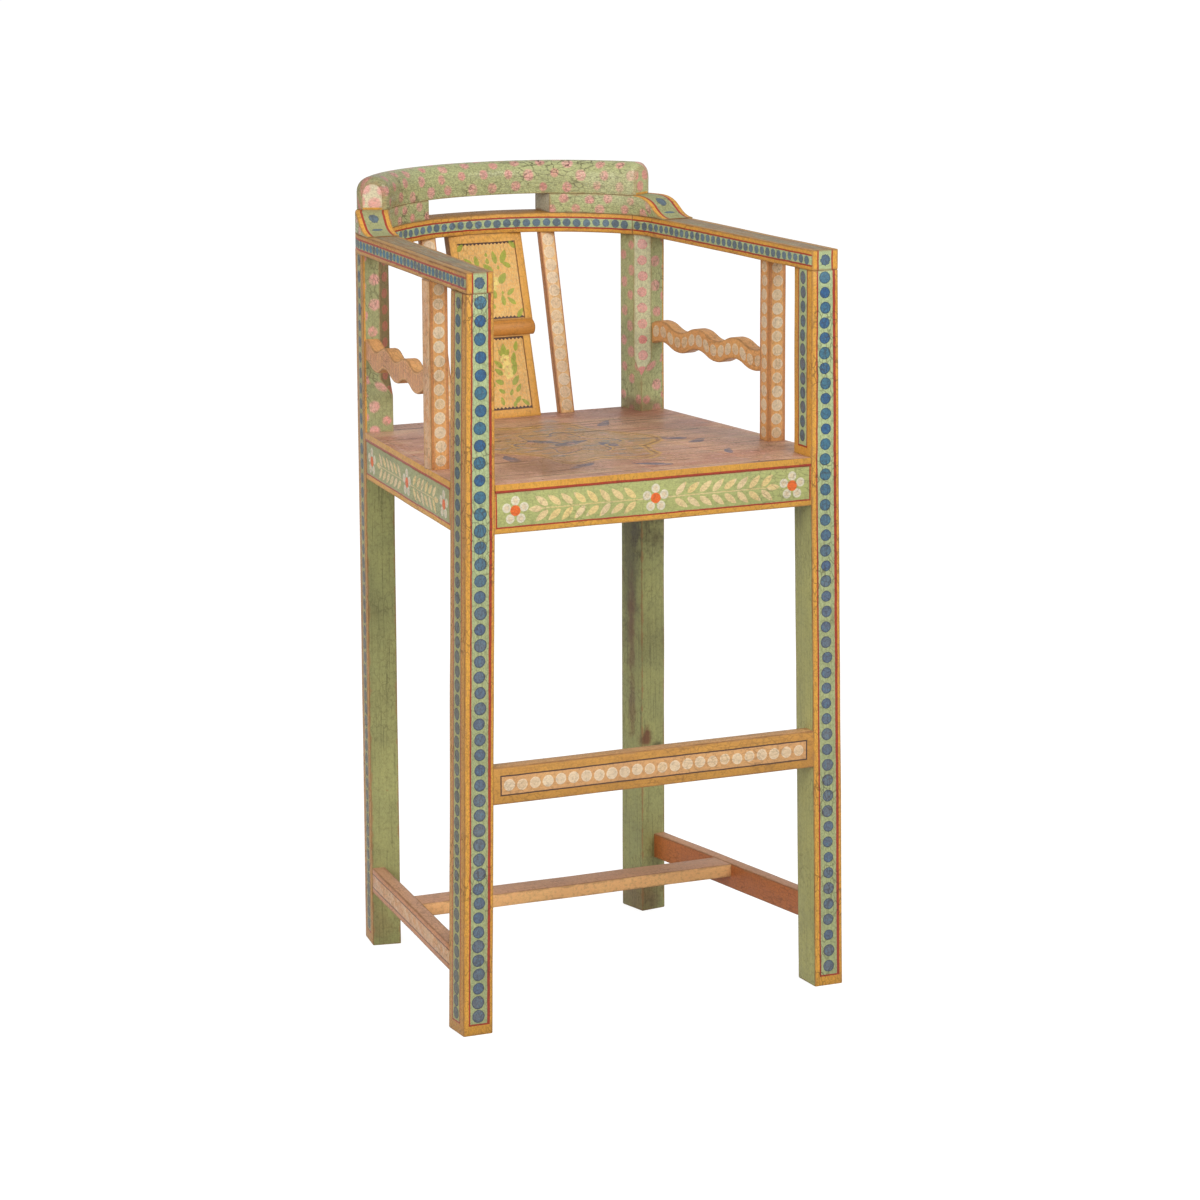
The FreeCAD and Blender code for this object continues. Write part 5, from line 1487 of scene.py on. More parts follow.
@dataclass
class Timber:
    """A hand-shaped member: cross-sections along its length, joined by painted faces.

    Attributes:
        node: the solid that it stands for.
        slot: the record's slot of its paint; not used.
        sections: the corners of each cross-section, in millimetres.
        faces: the finishes of each long face, in the corners' order.
        caps: the finishes of the first and the last end.
        passing: the points of a section that carry a face on and aren't corners.
        rounding: how far each corner is rounded.
        end_rounding: how far the ends' edges are rounded.
        waver: how far the corners stray from straight.
    """

    node: str
    slot: str
    sections: list[Section]
    faces: list[list[Zone]]
    caps: tuple[Finish, Finish]
    passing: frozenset[int] = frozenset()
    rounding: float = 1.5
    end_rounding: float = 1.0
    waver: float = 0.45
    owners: list[int] = field(default_factory=list, init=False)
    starts: list[int] = field(default_factory=list, init=False)

    def strayed(self, spot: Vector) -> Vector:
        """A corner, moved by the unevenness of handwork."""
        return spot + noise.noise_vector(spot * 0.011) * self.waver

    def profile(self, section: Section) -> Section:
        """A section with its corners rounded, and a note of the face that each edge belongs to."""
        points: Section = []
        self.owners, self.starts = [], []
        corners = len(section) - len(self.passing)
        face = -1
        for number, spot in enumerate(section):
            if number in self.passing:
                points.append(spot)
                self.owners.append(face)
                continue
            before = section[number - 1] - spot
            after = section[(number + 1) % len(section)] - spot
            reach = min(self.rounding, before.length * 0.45, after.length * 0.45)
            first = spot + before.normalized() * reach
            last = spot + after.normalized() * reach
            face += 1
            points += [first, (first + last) * 0.25 + spot * 0.5, last]
            self.owners += [(face - 1) % corners, face, face]
            self.starts.append(len(points) - 2)
        return points

    def rings(self) -> list[Section]:
        """The rounded sections from end to end, with smaller ones where the ends are eased."""
        rough = [[self.strayed(spot) for spot in section] for section in self.sections]
        ends = []
        for end, inward in ((0, 1), (-1, -2)):
            shift = [b - a for a, b in zip(rough[end], rough[inward])]
            middle = sum(rough[end], Vector()) / len(rough[end])
            size = max((spot - middle).length for spot in rough[end])
            ends.append([spot.lerp(middle, self.end_rounding / size) for spot in rough[end]])
            rough[end] = [spot + step.normalized() * self.end_rounding
                          for spot, step in zip(rough[end], shift)]
        return [self.profile(section) for section in [ends[0], *rough, ends[1]]]

    def blank(self, sides: int, rings: int) -> bpy.types.Object:
        """A turned blank with as many sides and rings as the timber, to be shaped ring by ring."""
        bpy.ops.object.select_all(action="DESELECT")
        bpy.ops.mesh.primitive_cylinder_add(
            vertices=sides, radius=1.0, depth=float(rings - 1), end_fill_type="NGON", location=(0, 0, 0))
        piece = bpy.context.object
        piece.name = f"painted_{self.node}"
        piece.data.name = piece.name
        bpy.ops.object.mode_set(mode="EDIT")
        bpy.ops.mesh.select_all(action="DESELECT")
        bpy.ops.mesh.select_mode(type="EDGE")
        shape = bmesh.from_edit_mesh(piece.data)
        for edge in shape.edges:
            low, high = edge.verts
            edge.select_set(abs(low.co.z - high.co.z) > 0.5)
        bmesh.update_edit_mesh(piece.data)
        bpy.ops.mesh.subdivide(number_cuts=rings - 2)
        leave_edit_mode()
        return piece

    def build(self) -> bpy.types.Object:
        """Shapes the blank, lays out its maps and finishes, and ties it to the frame."""
        rings = self.rings()
        sides = len(rings[0])
        piece = self.blank(sides, len(rings))
        address = []
        for vertex in piece.data.vertices:
            ring = round(vertex.co.z + (len(rings) - 1) / 2)
            side = round(math.atan2(vertex.co.y, vertex.co.x) / math.tau * sides) % sides
            address.append((ring, side))
            vertex.co = rings[ring][side] * MM
        self.unwrap(piece, rings, address)
        return settle(piece, self.node)

    def across(self, ring: Section, face: int) -> dict[int, float]:
        """Distances over one face of a ring, from its first corner, by point."""
        sides = len(ring)
        last = self.starts[(face + 1) % len(self.starts)]
        side = self.starts[face]
        distances = {side: 0.0}
        while side != last:
            following = (side + 1) % sides
            distances[following] = distances[side] + (ring[following] - ring[side]).length
            side = following
        return distances

    def zones(self, rings: list[Section], face: int) -> tuple[list[Zone], list[float], list[tuple[int, int]]]:
        """The finish of each stretch of a face.

        Args:
            rings: the timber's rings.
            face: the face's number.

        Returns:
            The zone of each stretch between two rings, the distance of each ring along the face,
            and the first and last ring of each stretch's zone.
        """
        first = self.starts[face]
        last = self.starts[(face + 1) % len(self.starts)]
        middles = [(ring[first] + ring[last]) / 2 for ring in rings]
        runs = [0.0]
        for before, after in zip(middles, middles[1:]):
            runs.append(runs[-1] + (after - before).length)
        chosen = []
        for before, after in zip(middles, middles[1:]):
            centre = (before + after) / 2
            chosen.append(next(zone for zone in self.faces[face] if zone.test(centre)))
        spans = []
        for number, zone in enumerate(chosen):
            low = number
            while low > 0 and chosen[low - 1] is zone:
                low -= 1
            high = number
            while high + 1 < len(chosen) and chosen[high + 1] is zone:
                high += 1
            spans.append((low, high + 1))
        return chosen, runs, spans

    def unwrap(self, piece: bpy.types.Object, rings: list[Section], address: list[tuple[int, int]]) -> None:
        """Lays out the two maps of distances to each face's edges, and gives each face its finish.

        Args:
            piece: the shaped blank.
            rings: the timber's rings.
            address: the ring and the side of each of its vertices.
        """
        mesh = piece.data
        run, over = fresh_maps(mesh)
        sides = len(rings[0])
        faces = [self.zones(rings, face) for face in range(len(self.starts))]
        widths = [[self.across(ring, face) for face in range(len(self.starts))] for ring in rings]
        for polygon in mesh.polygons:
            spots = [address[index] for index in polygon.vertices]
            levels = {ring for ring, _ in spots}
            if len(levels) == 1:
                self.unwrap_cap(piece, polygon, rings, address)
                continue
            low = min(levels)
            near = sorted({side for _, side in spots})
            edge = near[1] if near == [0, sides - 1] else near[0]
            face = self.owners[edge]
            chosen, runs, spans = faces[face]
            start, end = spans[low]
            polygon.material_index = slot_number(piece, chosen[low].finish)
            for loop in polygon.loop_indices:
                ring, side = address[mesh.loops[loop].vertex_index]
                width = widths[ring][face]
                total = max(width.values())
                run.data[loop].uv = ((runs[ring] - runs[start]) * MM, (runs[end] - runs[ring]) * MM)
                over.data[loop].uv = (width[side] * MM, (total - width[side]) * MM)

    def unwrap_cap(self, piece: bpy.types.Object, polygon: bpy.types.MeshPolygon,
                   rings: list[Section], address: list[tuple[int, int]]) -> None:
        """Lays out an end face from the directions of its first two edges."""
        mesh = piece.data
        end = 0 if address[polygon.vertices[0]][0] == 0 else 1
        polygon.material_index = slot_number(piece, self.caps[end])
        ring = rings[-end]
        corners = [ring[start] for start in self.starts[:3]]
        if len(corners) < 3:
            corners = [ring[self.starts[0]], ring[self.starts[1]], ring[len(ring) // 2]]
        first = corners[1] - corners[0]
        upright = corners[2] - corners[1]
        upright -= upright.project(first)
        for loop in polygon.loop_indices:
            spot = ring[address[mesh.loops[loop].vertex_index][1]]
            x = (spot - corners[0]).dot(first.normalized())
            y = (spot - corners[1]).dot(upright.normalized())
            mesh.uv_layers["run"].data[loop].uv = (x * MM, (first.length - x) * MM)
            mesh.uv_layers["across"].data[loop].uv = (y * MM, (upright.length - y) * MM)


def flip(sections: Sequence[Section], side: Side) -> list[Section]:
    """Sections written for the right side, on the side that is asked for."""
    return [[Vector((side.value * spot.x, spot.y, spot.z)) for spot in section] for section in sections]


def one(finish: Finish) -> list[Zone]:
    """A face with the same finish all along."""
    return [Zone(finish)]


def above_seat(spot: Vector) -> bool:
    """Whether a place is above the seat."""
    return spot.z > PLAN.seat_height


def upright_section(x: tuple[float, float], y: tuple[float, float], level: float) -> Section:
    """An upright member's section: round from its inner front corner, by way of its outer one."""
    (inner, outer), (near, far) = x, y
    return [Vector((inner, near, level)), Vector((outer, near, level)),
            Vector((outer, far, level)), Vector((inner, far, level))]


@dataclass
class Legs:
    """The two front legs, which run up to the arms, and the two chamfered back legs."""

    chamfer: float = 16.0
    chamfer_rise: float = 70.0
    tongue: float = 22.0

    def front(self, side: Side) -> Timber:
        """A front leg, splayed below and tapered above the seat."""
        y = (PLAN.front_y, PLAN.leg_back_y)
        sections = [upright_section((PLAN.leg_inner(level), PLAN.leg_outer(level)), y, level)
                    for level in (0.0, PLAN.seat_height, PLAN.arm_under)]
        inner_face = [Zone(LEG_INNER, above_seat), Zone(GREEN)]
        front = LEG_FRONT if side is Side.RIGHT else LEFT_LEG_FRONT
        return Timber(
            f"front_leg_{side.tag}", "green_paint", flip(divided(sections), side),
            [one(front), one(LEG_SIDE), one(GREEN), inner_face], (GREEN, GREEN))

    def back(self, side: Side) -> Timber:
        """A back leg, whose inner front corner is chamfered above a lamb's tongue."""
        width, depth = PLAN.back_leg_width, PLAN.back_leg_depth
        stop = PLAN.seat_height + self.chamfer_rise
        sections = []
        for level, cut in ((0.0, 0.0), (PLAN.seat_height, 0.0), (stop - self.tongue, 0.0),
                           (stop, self.chamfer), (PLAN.arm_under, self.chamfer)):
            plan = ((0.0, 0.0), (0.0, depth), (width, depth), (width, cut), (width - cut, 0.0))
            sections.append([Vector((*PLAN.back_leg_point(across, along), level))
                             for across, along in plan])
        # The left post takes the darker copies of the right post's paints: painted shade.
        coats = (LEFT_POST_SPOTS, LEFT_POST_FRONT, SHADED_COLUMN)
        if side is Side.RIGHT:
            coats = (POST_SPOTS, POST_FRONT, POST_COLUMN)
        spots, front, column = ([Zone(finish, above_seat), Zone(BACK_GREEN)] for finish in coats)
        return Timber(
            f"back_leg_{side.tag}", "green_paint", flip(divided(sections), side),
            [one(LEG_SIDE), spots, spots, column, front], (GREEN, GREEN))

    def build(self) -> None:
        """Builds the four legs."""
        for side in Side:
            self.front(side).build()
            self.back(side).build()


def level_section(spots: Sequence[tuple[float, float]], low: float, high: float) -> Section:
    """A level member's section: its outer face first, then its top, its inner face and its underside.

    Args:
        spots: the plan of its outer and of its inner face.
        low: its underside.
        high: its top.

    Returns:
        The section's four corners.
    """
    outer, inner = spots
    return [Vector((*outer, low)), Vector((*outer, high)), Vector((*inner, high)), Vector((*inner, low))]


@dataclass
class Members:
    """The level members between the legs: seat rails, footrest and stretchers."""

    footrest_top: float = 343.0
    footrest_height: float = 48.0
    footrest_thickness: float = 22.0
    stretcher_top: float = 108.0
    stretcher_height: float = 34.0
    stretcher_thickness: float = 18.0
    cross_thickness: float = 18.0
    cross_width: float = 42.0
    cross_place: float = 209.0
    joint_shadow: float = 0.5
    into_inner_face: float = 1.5
    into_joint: float = 1.0
    below_top: float = 0.4

    def front_member(self, node: str, slot: str, low: float, high: float, thickness: float,
                     finishes: Sequence[Finish]) -> Timber:
        """A member between the front legs, a hair behind their front faces."""
        near = PLAN.front_y + self.joint_shadow
        far = PLAN.front_y + thickness
        reach = PLAN.leg_inner((low + high) / 2) + self.into_inner_face
        sections = [level_section(((x, near), (x, far)), low, high) for x in (-reach, reach)]
        return Timber(node, slot, divided(sections), [one(finish) for finish in finishes],
                      (finishes[2], finishes[2]))

    def side_member(self, node: str, slot: str, side: Side, low: float, high: float, thickness: float,
                    finishes: Sequence[Finish]) -> Timber:
        """A member from a front leg to a back leg, a hair inside their outer faces."""
        outer = PLAN.leg_outer((low + high) / 2) - self.joint_shadow
        start = PLAN.leg_back_y - self.into_joint
        front = ((outer, start), (outer - thickness, start))
        back = [PLAN.back_leg_point(across, self.into_joint) for across in (self.joint_shadow, thickness)]
        sections = [level_section(spots, low, high) for spots in (front, back)]
        return Timber(node, slot, flip(divided(sections), side), [one(finish) for finish in finishes],
                      (finishes[2], finishes[2]))

    def back_rail(self) -> Timber:
        """The rail between the back legs, under the seat's back edge."""
        rear = PLAN.back_edge_y - self.joint_shadow
        fore = PLAN.back_edge_y - PLAN.rail_thickness
        sections = []
        for sign in (1, -1):
            spots = [(sign * (PLAN.back_leg_inner(y) + self.into_inner_face), y) for y in (rear, fore)]
            sections.append(level_section(spots, PLAN.rail_bottom, PLAN.rail_top))
        faces = [one(BACK_PANEL), one(GREEN), one(GREEN), one(GREEN)]
        return Timber("back_rail", "green_paint", divided(sections), faces, (GREEN, GREEN))

    def cross_stretcher(self) -> Timber:
        """The stretcher across the chair, flush with the tops of the side stretchers."""
        middle = PLAN.leg_back_y + self.cross_place
        level = self.stretcher_top - self.stretcher_height / 2
        plan = [(PLAN.side_outer(level, y) - self.stretcher_thickness + self.into_joint, y)
                for y in (middle - self.cross_width / 2, middle + self.cross_width / 2)]
        low = self.stretcher_top - self.cross_thickness
        high = self.stretcher_top - self.below_top
        sections = [level_section([(sign * x, y) for x, y in plan], low, high) for sign in (-1, 1)]
        faces = [one(CROSS_FRONT), one(STRETCHER_TOP), one(CROSS_FRONT), one(STRETCHER_INNER)]
        return Timber("cross_stretcher", "terracotta_paint", divided(sections), faces,
                      (STRETCHER_INNER, STRETCHER_INNER))

    def build(self) -> None:
        """Builds the rails, the footrest and the stretchers."""
        low, high = PLAN.rail_bottom, PLAN.rail_top
        green = (GREEN, GREEN, GREEN)
        self.front_member("front_rail", "green_paint", low, high, PLAN.rail_thickness,
                          (RAIL_PANEL, *green)).build()
        self.back_rail().build()
        foot_low = self.footrest_top - self.footrest_height
        self.front_member("footrest", "peach_paint", foot_low, self.footrest_top, self.footrest_thickness,
                          (FOOTREST_FRONT, FOOTREST_TOP, STRETCHER_INNER, STRETCHER_INNER)).build()
        bottom = self.stretcher_top - self.stretcher_height
        for side in Side:
            self.side_member(f"side_rail_{side.tag}", "green_paint", side, low, high, PLAN.rail_thickness,
                             (SIDE_PANEL, *green)).build()
            self.side_member(
                f"side_stretcher_{side.tag}", "terracotta_paint", side, bottom, self.stretcher_top,
                self.stretcher_thickness,
                (STRETCHER_OUTER, STRETCHER_TOP, STRETCHER_INNER, STRETCHER_INNER)).build()
        self.cross_stretcher().build()


@dataclass
class ArmsAndBow:
    """The two arms and the bow that joins them behind, all of one thickness."""

    arc_step: float = 4.0

    def section(self, outer: tuple[float, float], inner: tuple[float, float]) -> Section:
        """A section of the arm or the bow."""
        return level_section((outer, inner), PLAN.arm_under, PLAN.arm_height)

    def arm(self, side: Side) -> Timber:
        """An arm: straight from the front leg, then round the corner to the back leg."""
        outer_x = PLAN.front_width / 2
        front = self.section((outer_x, PLAN.front_y), (outer_x - PLAN.arm_front_width, PLAN.front_y))
        corner = self.section(BOW.point(BOW.half, BOW.arm_angle), BOW.point(-BOW.half, BOW.arm_angle))
        sections = divided([front, corner])
        count = math.ceil((BOW.arm_angle - BOW.joint_angle) / self.arc_step)
        for angle in steps(BOW.arm_angle, BOW.joint_angle, count)[1:]:
            sections.append(self.section(BOW.point(BOW.half, angle), BOW.point(-BOW.half, angle)))
        faces = [one(ARM_OUTER), one(ARM_TOP), one(ARM_INNER), one(OCHRE_PLAIN)]
        return Timber(f"arm_{side.tag}", "green_paint", flip(sections, side), faces, (ARM_END, GREEN),
                      end_rounding=0.8)

    def bow(self) -> Timber:
        """The bow, from the middle of one back leg to the middle of the other."""
        count = math.ceil(2 * BOW.joint_angle / self.arc_step)
        sections = [self.section(BOW.point(BOW.half, angle), BOW.point(-BOW.half, angle))
                    for angle in steps(BOW.joint_angle, -BOW.joint_angle, count)]
        faces = [one(ARM_OUTER), one(OCHRE_PLAIN), one(ARM_INNER), one(OCHRE_PLAIN)]
        return Timber("back_bow", "green_paint", sections, faces, (GREEN, GREEN), end_rounding=0.3)

    def build(self) -> None:
        """Builds the arms and the bow."""
        for side in Side:
            self.arm(side).build()
        self.bow().build()


@dataclass
class Crest:
    """The crest roll and the two risers that carry it, with their ogee ramps."""

    riser_height: float = 26.0
    crest_height: float = 43.0
    rounding: float = 20.0
    ramp_run: float = 70.0
    ramp_lip: float = 1.5
    end_round: float = 9.0
    arc_step: float = 3.0

    @property
    def bottom(self) -> float:
        """The level of the crest roll's underside."""
        return PLAN.arm_height + self.riser_height

    def ramp_level(self, distance: float) -> float:
        """The top of a riser at a distance along the arm: level, then an ogee down to a thin lip."""
        start = (BOW.half - BOW.corner_radius) * math.sin(math.radians(BOW.arm_angle - BOW.crest_angle))
        low = PLAN.arm_height + self.ramp_lip
        fall = self.bottom - low
        radius = (self.ramp_run ** 2 + fall ** 2) / (4 * fall)
        x = distance - start
        if x <= 0:
            return self.bottom
        if x <= self.ramp_run / 2:
            return self.bottom - radius + math.sqrt(radius ** 2 - x ** 2)
        rest = max(self.ramp_run - x, 0.0)
        return low + radius - math.sqrt(radius ** 2 - rest ** 2)

    def riser_section(self, outer: tuple[float, float], inner: tuple[float, float]) -> Section:
        """A riser's section, whose top follows the ramp on each of its two faces."""
        low = PLAN.arm_height
        tops = [self.ramp_level(BOW.past_corner(*spot)) for spot in (outer, inner)]
        return [Vector((*outer, low)), Vector((*outer, tops[0])),
                Vector((*inner, tops[1])), Vector((*inner, low))]

    def riser(self, side: Side) -> Timber:
        """A riser under one half of the crest, whose ramp runs down to the arm."""
        slot_x = BOW.point(-BOW.half, BOW.slot_angle)[0]
        outer_slot = math.degrees(math.asin(slot_x / (BOW.radius + BOW.half)))
        count = math.ceil((BOW.arm_angle - BOW.slot_angle) / self.arc_step)
        angles = zip(steps(outer_slot, BOW.arm_angle, count), steps(BOW.slot_angle, BOW.arm_angle, count))
        sections = [self.riser_section(BOW.point(BOW.half, outer), BOW.point(-BOW.half, inner))
                    for outer, inner in angles]
        turn = math.radians(BOW.arm_angle - BOW.crest_angle)
        foot = self.ramp_run - (BOW.corner_radius - BOW.half) * math.sin(turn)
        for distance in steps(0.0, foot, 8)[1:]:
            outer, inner = BOW.arm_point(BOW.half, distance), BOW.arm_point(-BOW.half, distance)
            sections.append(self.riser_section(outer, inner))
        limit = BOW.point(0.0, BOW.crest_angle)[1]
        ramp = [Zone(RAMP, lambda spot: spot.y < limit), Zone(GREEN)]
        faces = [one(RISER_SPOTS), ramp, one(RISER_SPOTS), one(GREEN)]
        return Timber(f"crest_riser_{side.tag}", "green_paint", flip(sections, side), faces,
                      (RISER_END, GREEN), rounding=1.2, end_rounding=0.5, waver=0.3)

    def roll_profile(self) -> list[tuple[float, float]]:
        """The roll's section as offsets and levels: up its inner side, over the top, and down again."""
        top = self.bottom + self.crest_height
        centre = BOW.half - self.rounding
        arc = [(centre + self.rounding * math.cos(angle), top - self.rounding * (1 - math.sin(angle)))
               for angle in steps(0.0, math.pi / 2, 6)]
        outer_side = [(BOW.half, self.bottom), *arc]
        inner_side = [(-offset, level) for offset, level in reversed(outer_side)]
        return [*reversed(inner_side), *reversed(outer_side)]

    def roll(self) -> Timber:
        """The crest roll, with softened ends."""
        profile = self.roll_profile()
        per_degree = math.radians(BOW.corner_radius)
        easing = [(BOW.crest_angle - share * self.end_round / per_degree,
                   self.end_round * (1 - math.sqrt(1 - (1 - share) ** 2)))
                  for share in (0.0, 0.07, 0.25, 0.55, 1.0)]
        last = easing[-1][0]
        count = math.ceil(2 * last / self.arc_step)
        stations = [(-angle, inset) for angle, inset in easing[:-1]]
        stations += [(angle, 0.0) for angle in steps(-last, last, count)]
        stations += list(reversed(easing[:-1]))
        sections = []
        for angle, inset in stations:
            narrow = 1 - inset / BOW.half
            lower = 1 - inset / self.crest_height
            sections.append([
                Vector((*BOW.point(offset * narrow, angle), self.bottom + (level - self.bottom) * lower))
                for offset, level in profile])
        passing = frozenset(range(1, len(profile) - 1))
        # The left end takes the lit copy of the end paint and the right end the shaded copy: painted light
        # and painted shade.
        return Timber("crest_roll", "green_paint", sections, [one(CREST_SPOTS), one(GREEN)],
                      (CREST_END, SHADED_CREST_END), passing=passing, end_rounding=0.3, rounding=1.2)

    def build(self) -> None:
        """Builds the risers and the roll."""
        for side in Side:
            self.riser(side).build()
        self.roll().build()


@dataclass
class ArmSupports:
    """The slim arm supports and the wavy rails that run back from them."""

    width: float = 25.0
    depth: float = 25.0
    place: float = 94.5
    wavy_share: float = 0.441
    wavy_height: float = 28.0
    wavy_thickness: float = 18.0
    wavy_inset: float = 11.0
    wave_depth: float = 5.0
    waves: int = 3
    left_shift: float = 0.5
    right_shift: float = 1.0
    into_joint: float = 1.0

    @property
    def middle(self) -> tuple[float, float]:
        """The plan of a right support's middle."""
        y = PLAN.leg_back_y + self.place
        level = PLAN.rail_top - PLAN.rail_height / 2
        return PLAN.side_outer(level, y) - self.width / 2, y

    def support(self, side: Side) -> Timber:
        """A support from the seat to the arm."""
        x, y = self.middle
        half, deep = self.width / 2, self.depth / 2
        sections = [upright_section((x - half, x + half), (y - deep, y + deep), level)
                    for level in (PLAN.seat_height - SUNK, PLAN.arm_under + SUNK)]
        faces = [one(BEADS), one(SUPPORT_OUTER), one(PEACH_BACK), one(BEADS)]
        return Timber(f"arm_support_{side.tag}", "peach_paint", flip(divided(sections), side), faces,
                      (BARE, BARE), end_rounding=0.2)

    def wave(self, share: float, span: float, shift: float) -> float:
        """The waves' height at a share of a rail's length: arcs, up and down in turn.

        Args:
            share: the share of the length, from the support.
            span: the length.
            shift: how much of the first half wave the rail lacks.

        Returns:
            The height over the rail's middle.
        """
        half_wave = span / (2 * self.waves)
        radius = (half_wave ** 2 / 4 + self.wave_depth ** 2) / (2 * self.wave_depth)
        turns = share * 2 * self.waves + shift
        number = math.floor(turns - 1e-6)
        off = (turns - number - 0.5) * half_wave
        rise = self.wave_depth - radius + math.sqrt(radius ** 2 - off ** 2)
        return rise if number % 2 == 0 else -rise

    def wavy_rail(self, side: Side) -> Timber:
        """A rail with parallel waves along its top and its underside."""
        x, y = self.middle
        start_y = y + self.depth / 2 - self.into_joint
        half = self.wavy_thickness / 2
        front = [(x + half, start_y), (x - half, start_y)]
        back = [PLAN.back_leg_point(self.wavy_inset + off, self.into_joint) for off in (-half, half)]
        middle = PLAN.seat_height + self.wavy_share * (PLAN.arm_under - PLAN.seat_height)
        span = PLAN.back_leg_y - start_y
        shift = self.left_shift if side is Side.LEFT else self.right_shift
        sections = []
        for share in steps(0.0, 1.0, 16 * self.waves):
            level = middle + self.wave(share, span, shift)
            outer, inner = ((a[0] + (b[0] - a[0]) * share, a[1] + (b[1] - a[1]) * share)
                            for a, b in zip(front, back))
            sections.append(level_section((outer, inner), level - self.wavy_height / 2,
                                          level + self.wavy_height / 2))
        faces = [one(WAVY_OUTER), one(WAVY_TOP), one(WAVY_INNER), one(WAVY_TOP)]
        return Timber(f"wavy_rail_{side.tag}", "peach_paint", flip(sections, side), faces, (BARE, BARE),
                      rounding=2.2, end_rounding=0.3)

    def build(self) -> None:
        """Builds the supports and the wavy rails."""
        for side in Side:
            self.support(side).build()
            self.wavy_rail(side).build()


def copied(node: str, bevel: float) -> bpy.types.Object:
    """A copy of a solid with its edges eased, to be painted.

    Args:
        node: the solid.
        bevel: how far its edges are eased, in millimetres.

    Returns:
        The copy.
    """
    bpy.ops.object.select_all(action="DESELECT")
    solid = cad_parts[node]
    solid.select_set(True)
    bpy.context.view_layer.objects.active = solid
    bpy.ops.object.duplicate()
    piece = bpy.context.object
    piece.name = f"painted_{node}"
    piece.data.name = piece.name
    piece.data.materials.clear()
    enter_edit_mode(piece)
    bpy.ops.mesh.remove_doubles(threshold=COPIED_MERGE)
    bpy.ops.mesh.select_all(action="SELECT")
    bpy.ops.mesh.dissolve_limited(angle_limit=math.radians(0.5))
    leave_edit_mode()
    easing = piece.modifiers.new("easing", "BEVEL")
    easing.width = bevel * MM
    easing.segments = 2
    easing.limit_method = "ANGLE"
    easing.angle_limit = math.radians(50)
    bpy.ops.object.modifier_apply(modifier=easing.name)
    return piece


@dataclass(frozen=True)
class Panel:
    """A flat face of a copied solid: a box in its own directions, and the finish that is on it."""

    finish: Finish
    run: tuple[float, float]
    across: tuple[float, float]
    test: Callable[[Vector, Vector], bool]


def paint_panels(piece: bpy.types.Object, panels: Sequence[Panel], run_axis: int, across_axis: int) -> None:
    """Lays out a copied solid's maps and gives each of its faces the first panel that fits.

    Args:
        piece: the copy.
        panels: its panels, the last of which fits any face.
        run_axis: the axis along which the panels run, 0 to 2.
        across_axis: the axis across them.
    """
    mesh = piece.data
    run, over = fresh_maps(mesh)
    for polygon in mesh.polygons:
        centre = polygon.center / MM
        panel = next(panel for panel in panels if panel.test(centre, polygon.normal))
        polygon.material_index = slot_number(piece, panel.finish)
        for loop in polygon.loop_indices:
            spot = mesh.vertices[mesh.loops[loop].vertex_index].co / MM
            along, aside = spot[run_axis], spot[across_axis]
            run.data[loop].uv = ((along - panel.run[0]) * MM, (panel.run[1] - along) * MM)
            over.data[loop].uv = ((aside - panel.across[0]) * MM, (panel.across[1] - aside) * MM)


@dataclass
class Seat:
    """The seat board, and the nails that hold it."""

    past_edge: float = 20.0

    def build(self) -> None:
        """Builds the board and finishes the nails."""
        piece = copied("seat_board", 1.2)
        width = PLAN.front_width / 2
        box = ((PLAN.front_y, PLAN.back_edge_y), (-width, width))
        level = PLAN.seat_height - 1.0
        edge_box = tuple((low - self.past_edge, high + self.past_edge) for low, high in box)
        panels = (
            Panel(SEAT_TOP, *box, lambda spot, normal: normal.z > 0.9 and spot.z > level),
            Panel(OCHRE_EDGE, *edge_box, lambda spot, normal: spot.z > PLAN.rail_top + 0.3),
            Panel(GREEN, *box, lambda spot, normal: True))
        paint_panels(piece, panels, 1, 0)
        settle(piece, "seat_board")
        refinish("seat_nails", IRON)


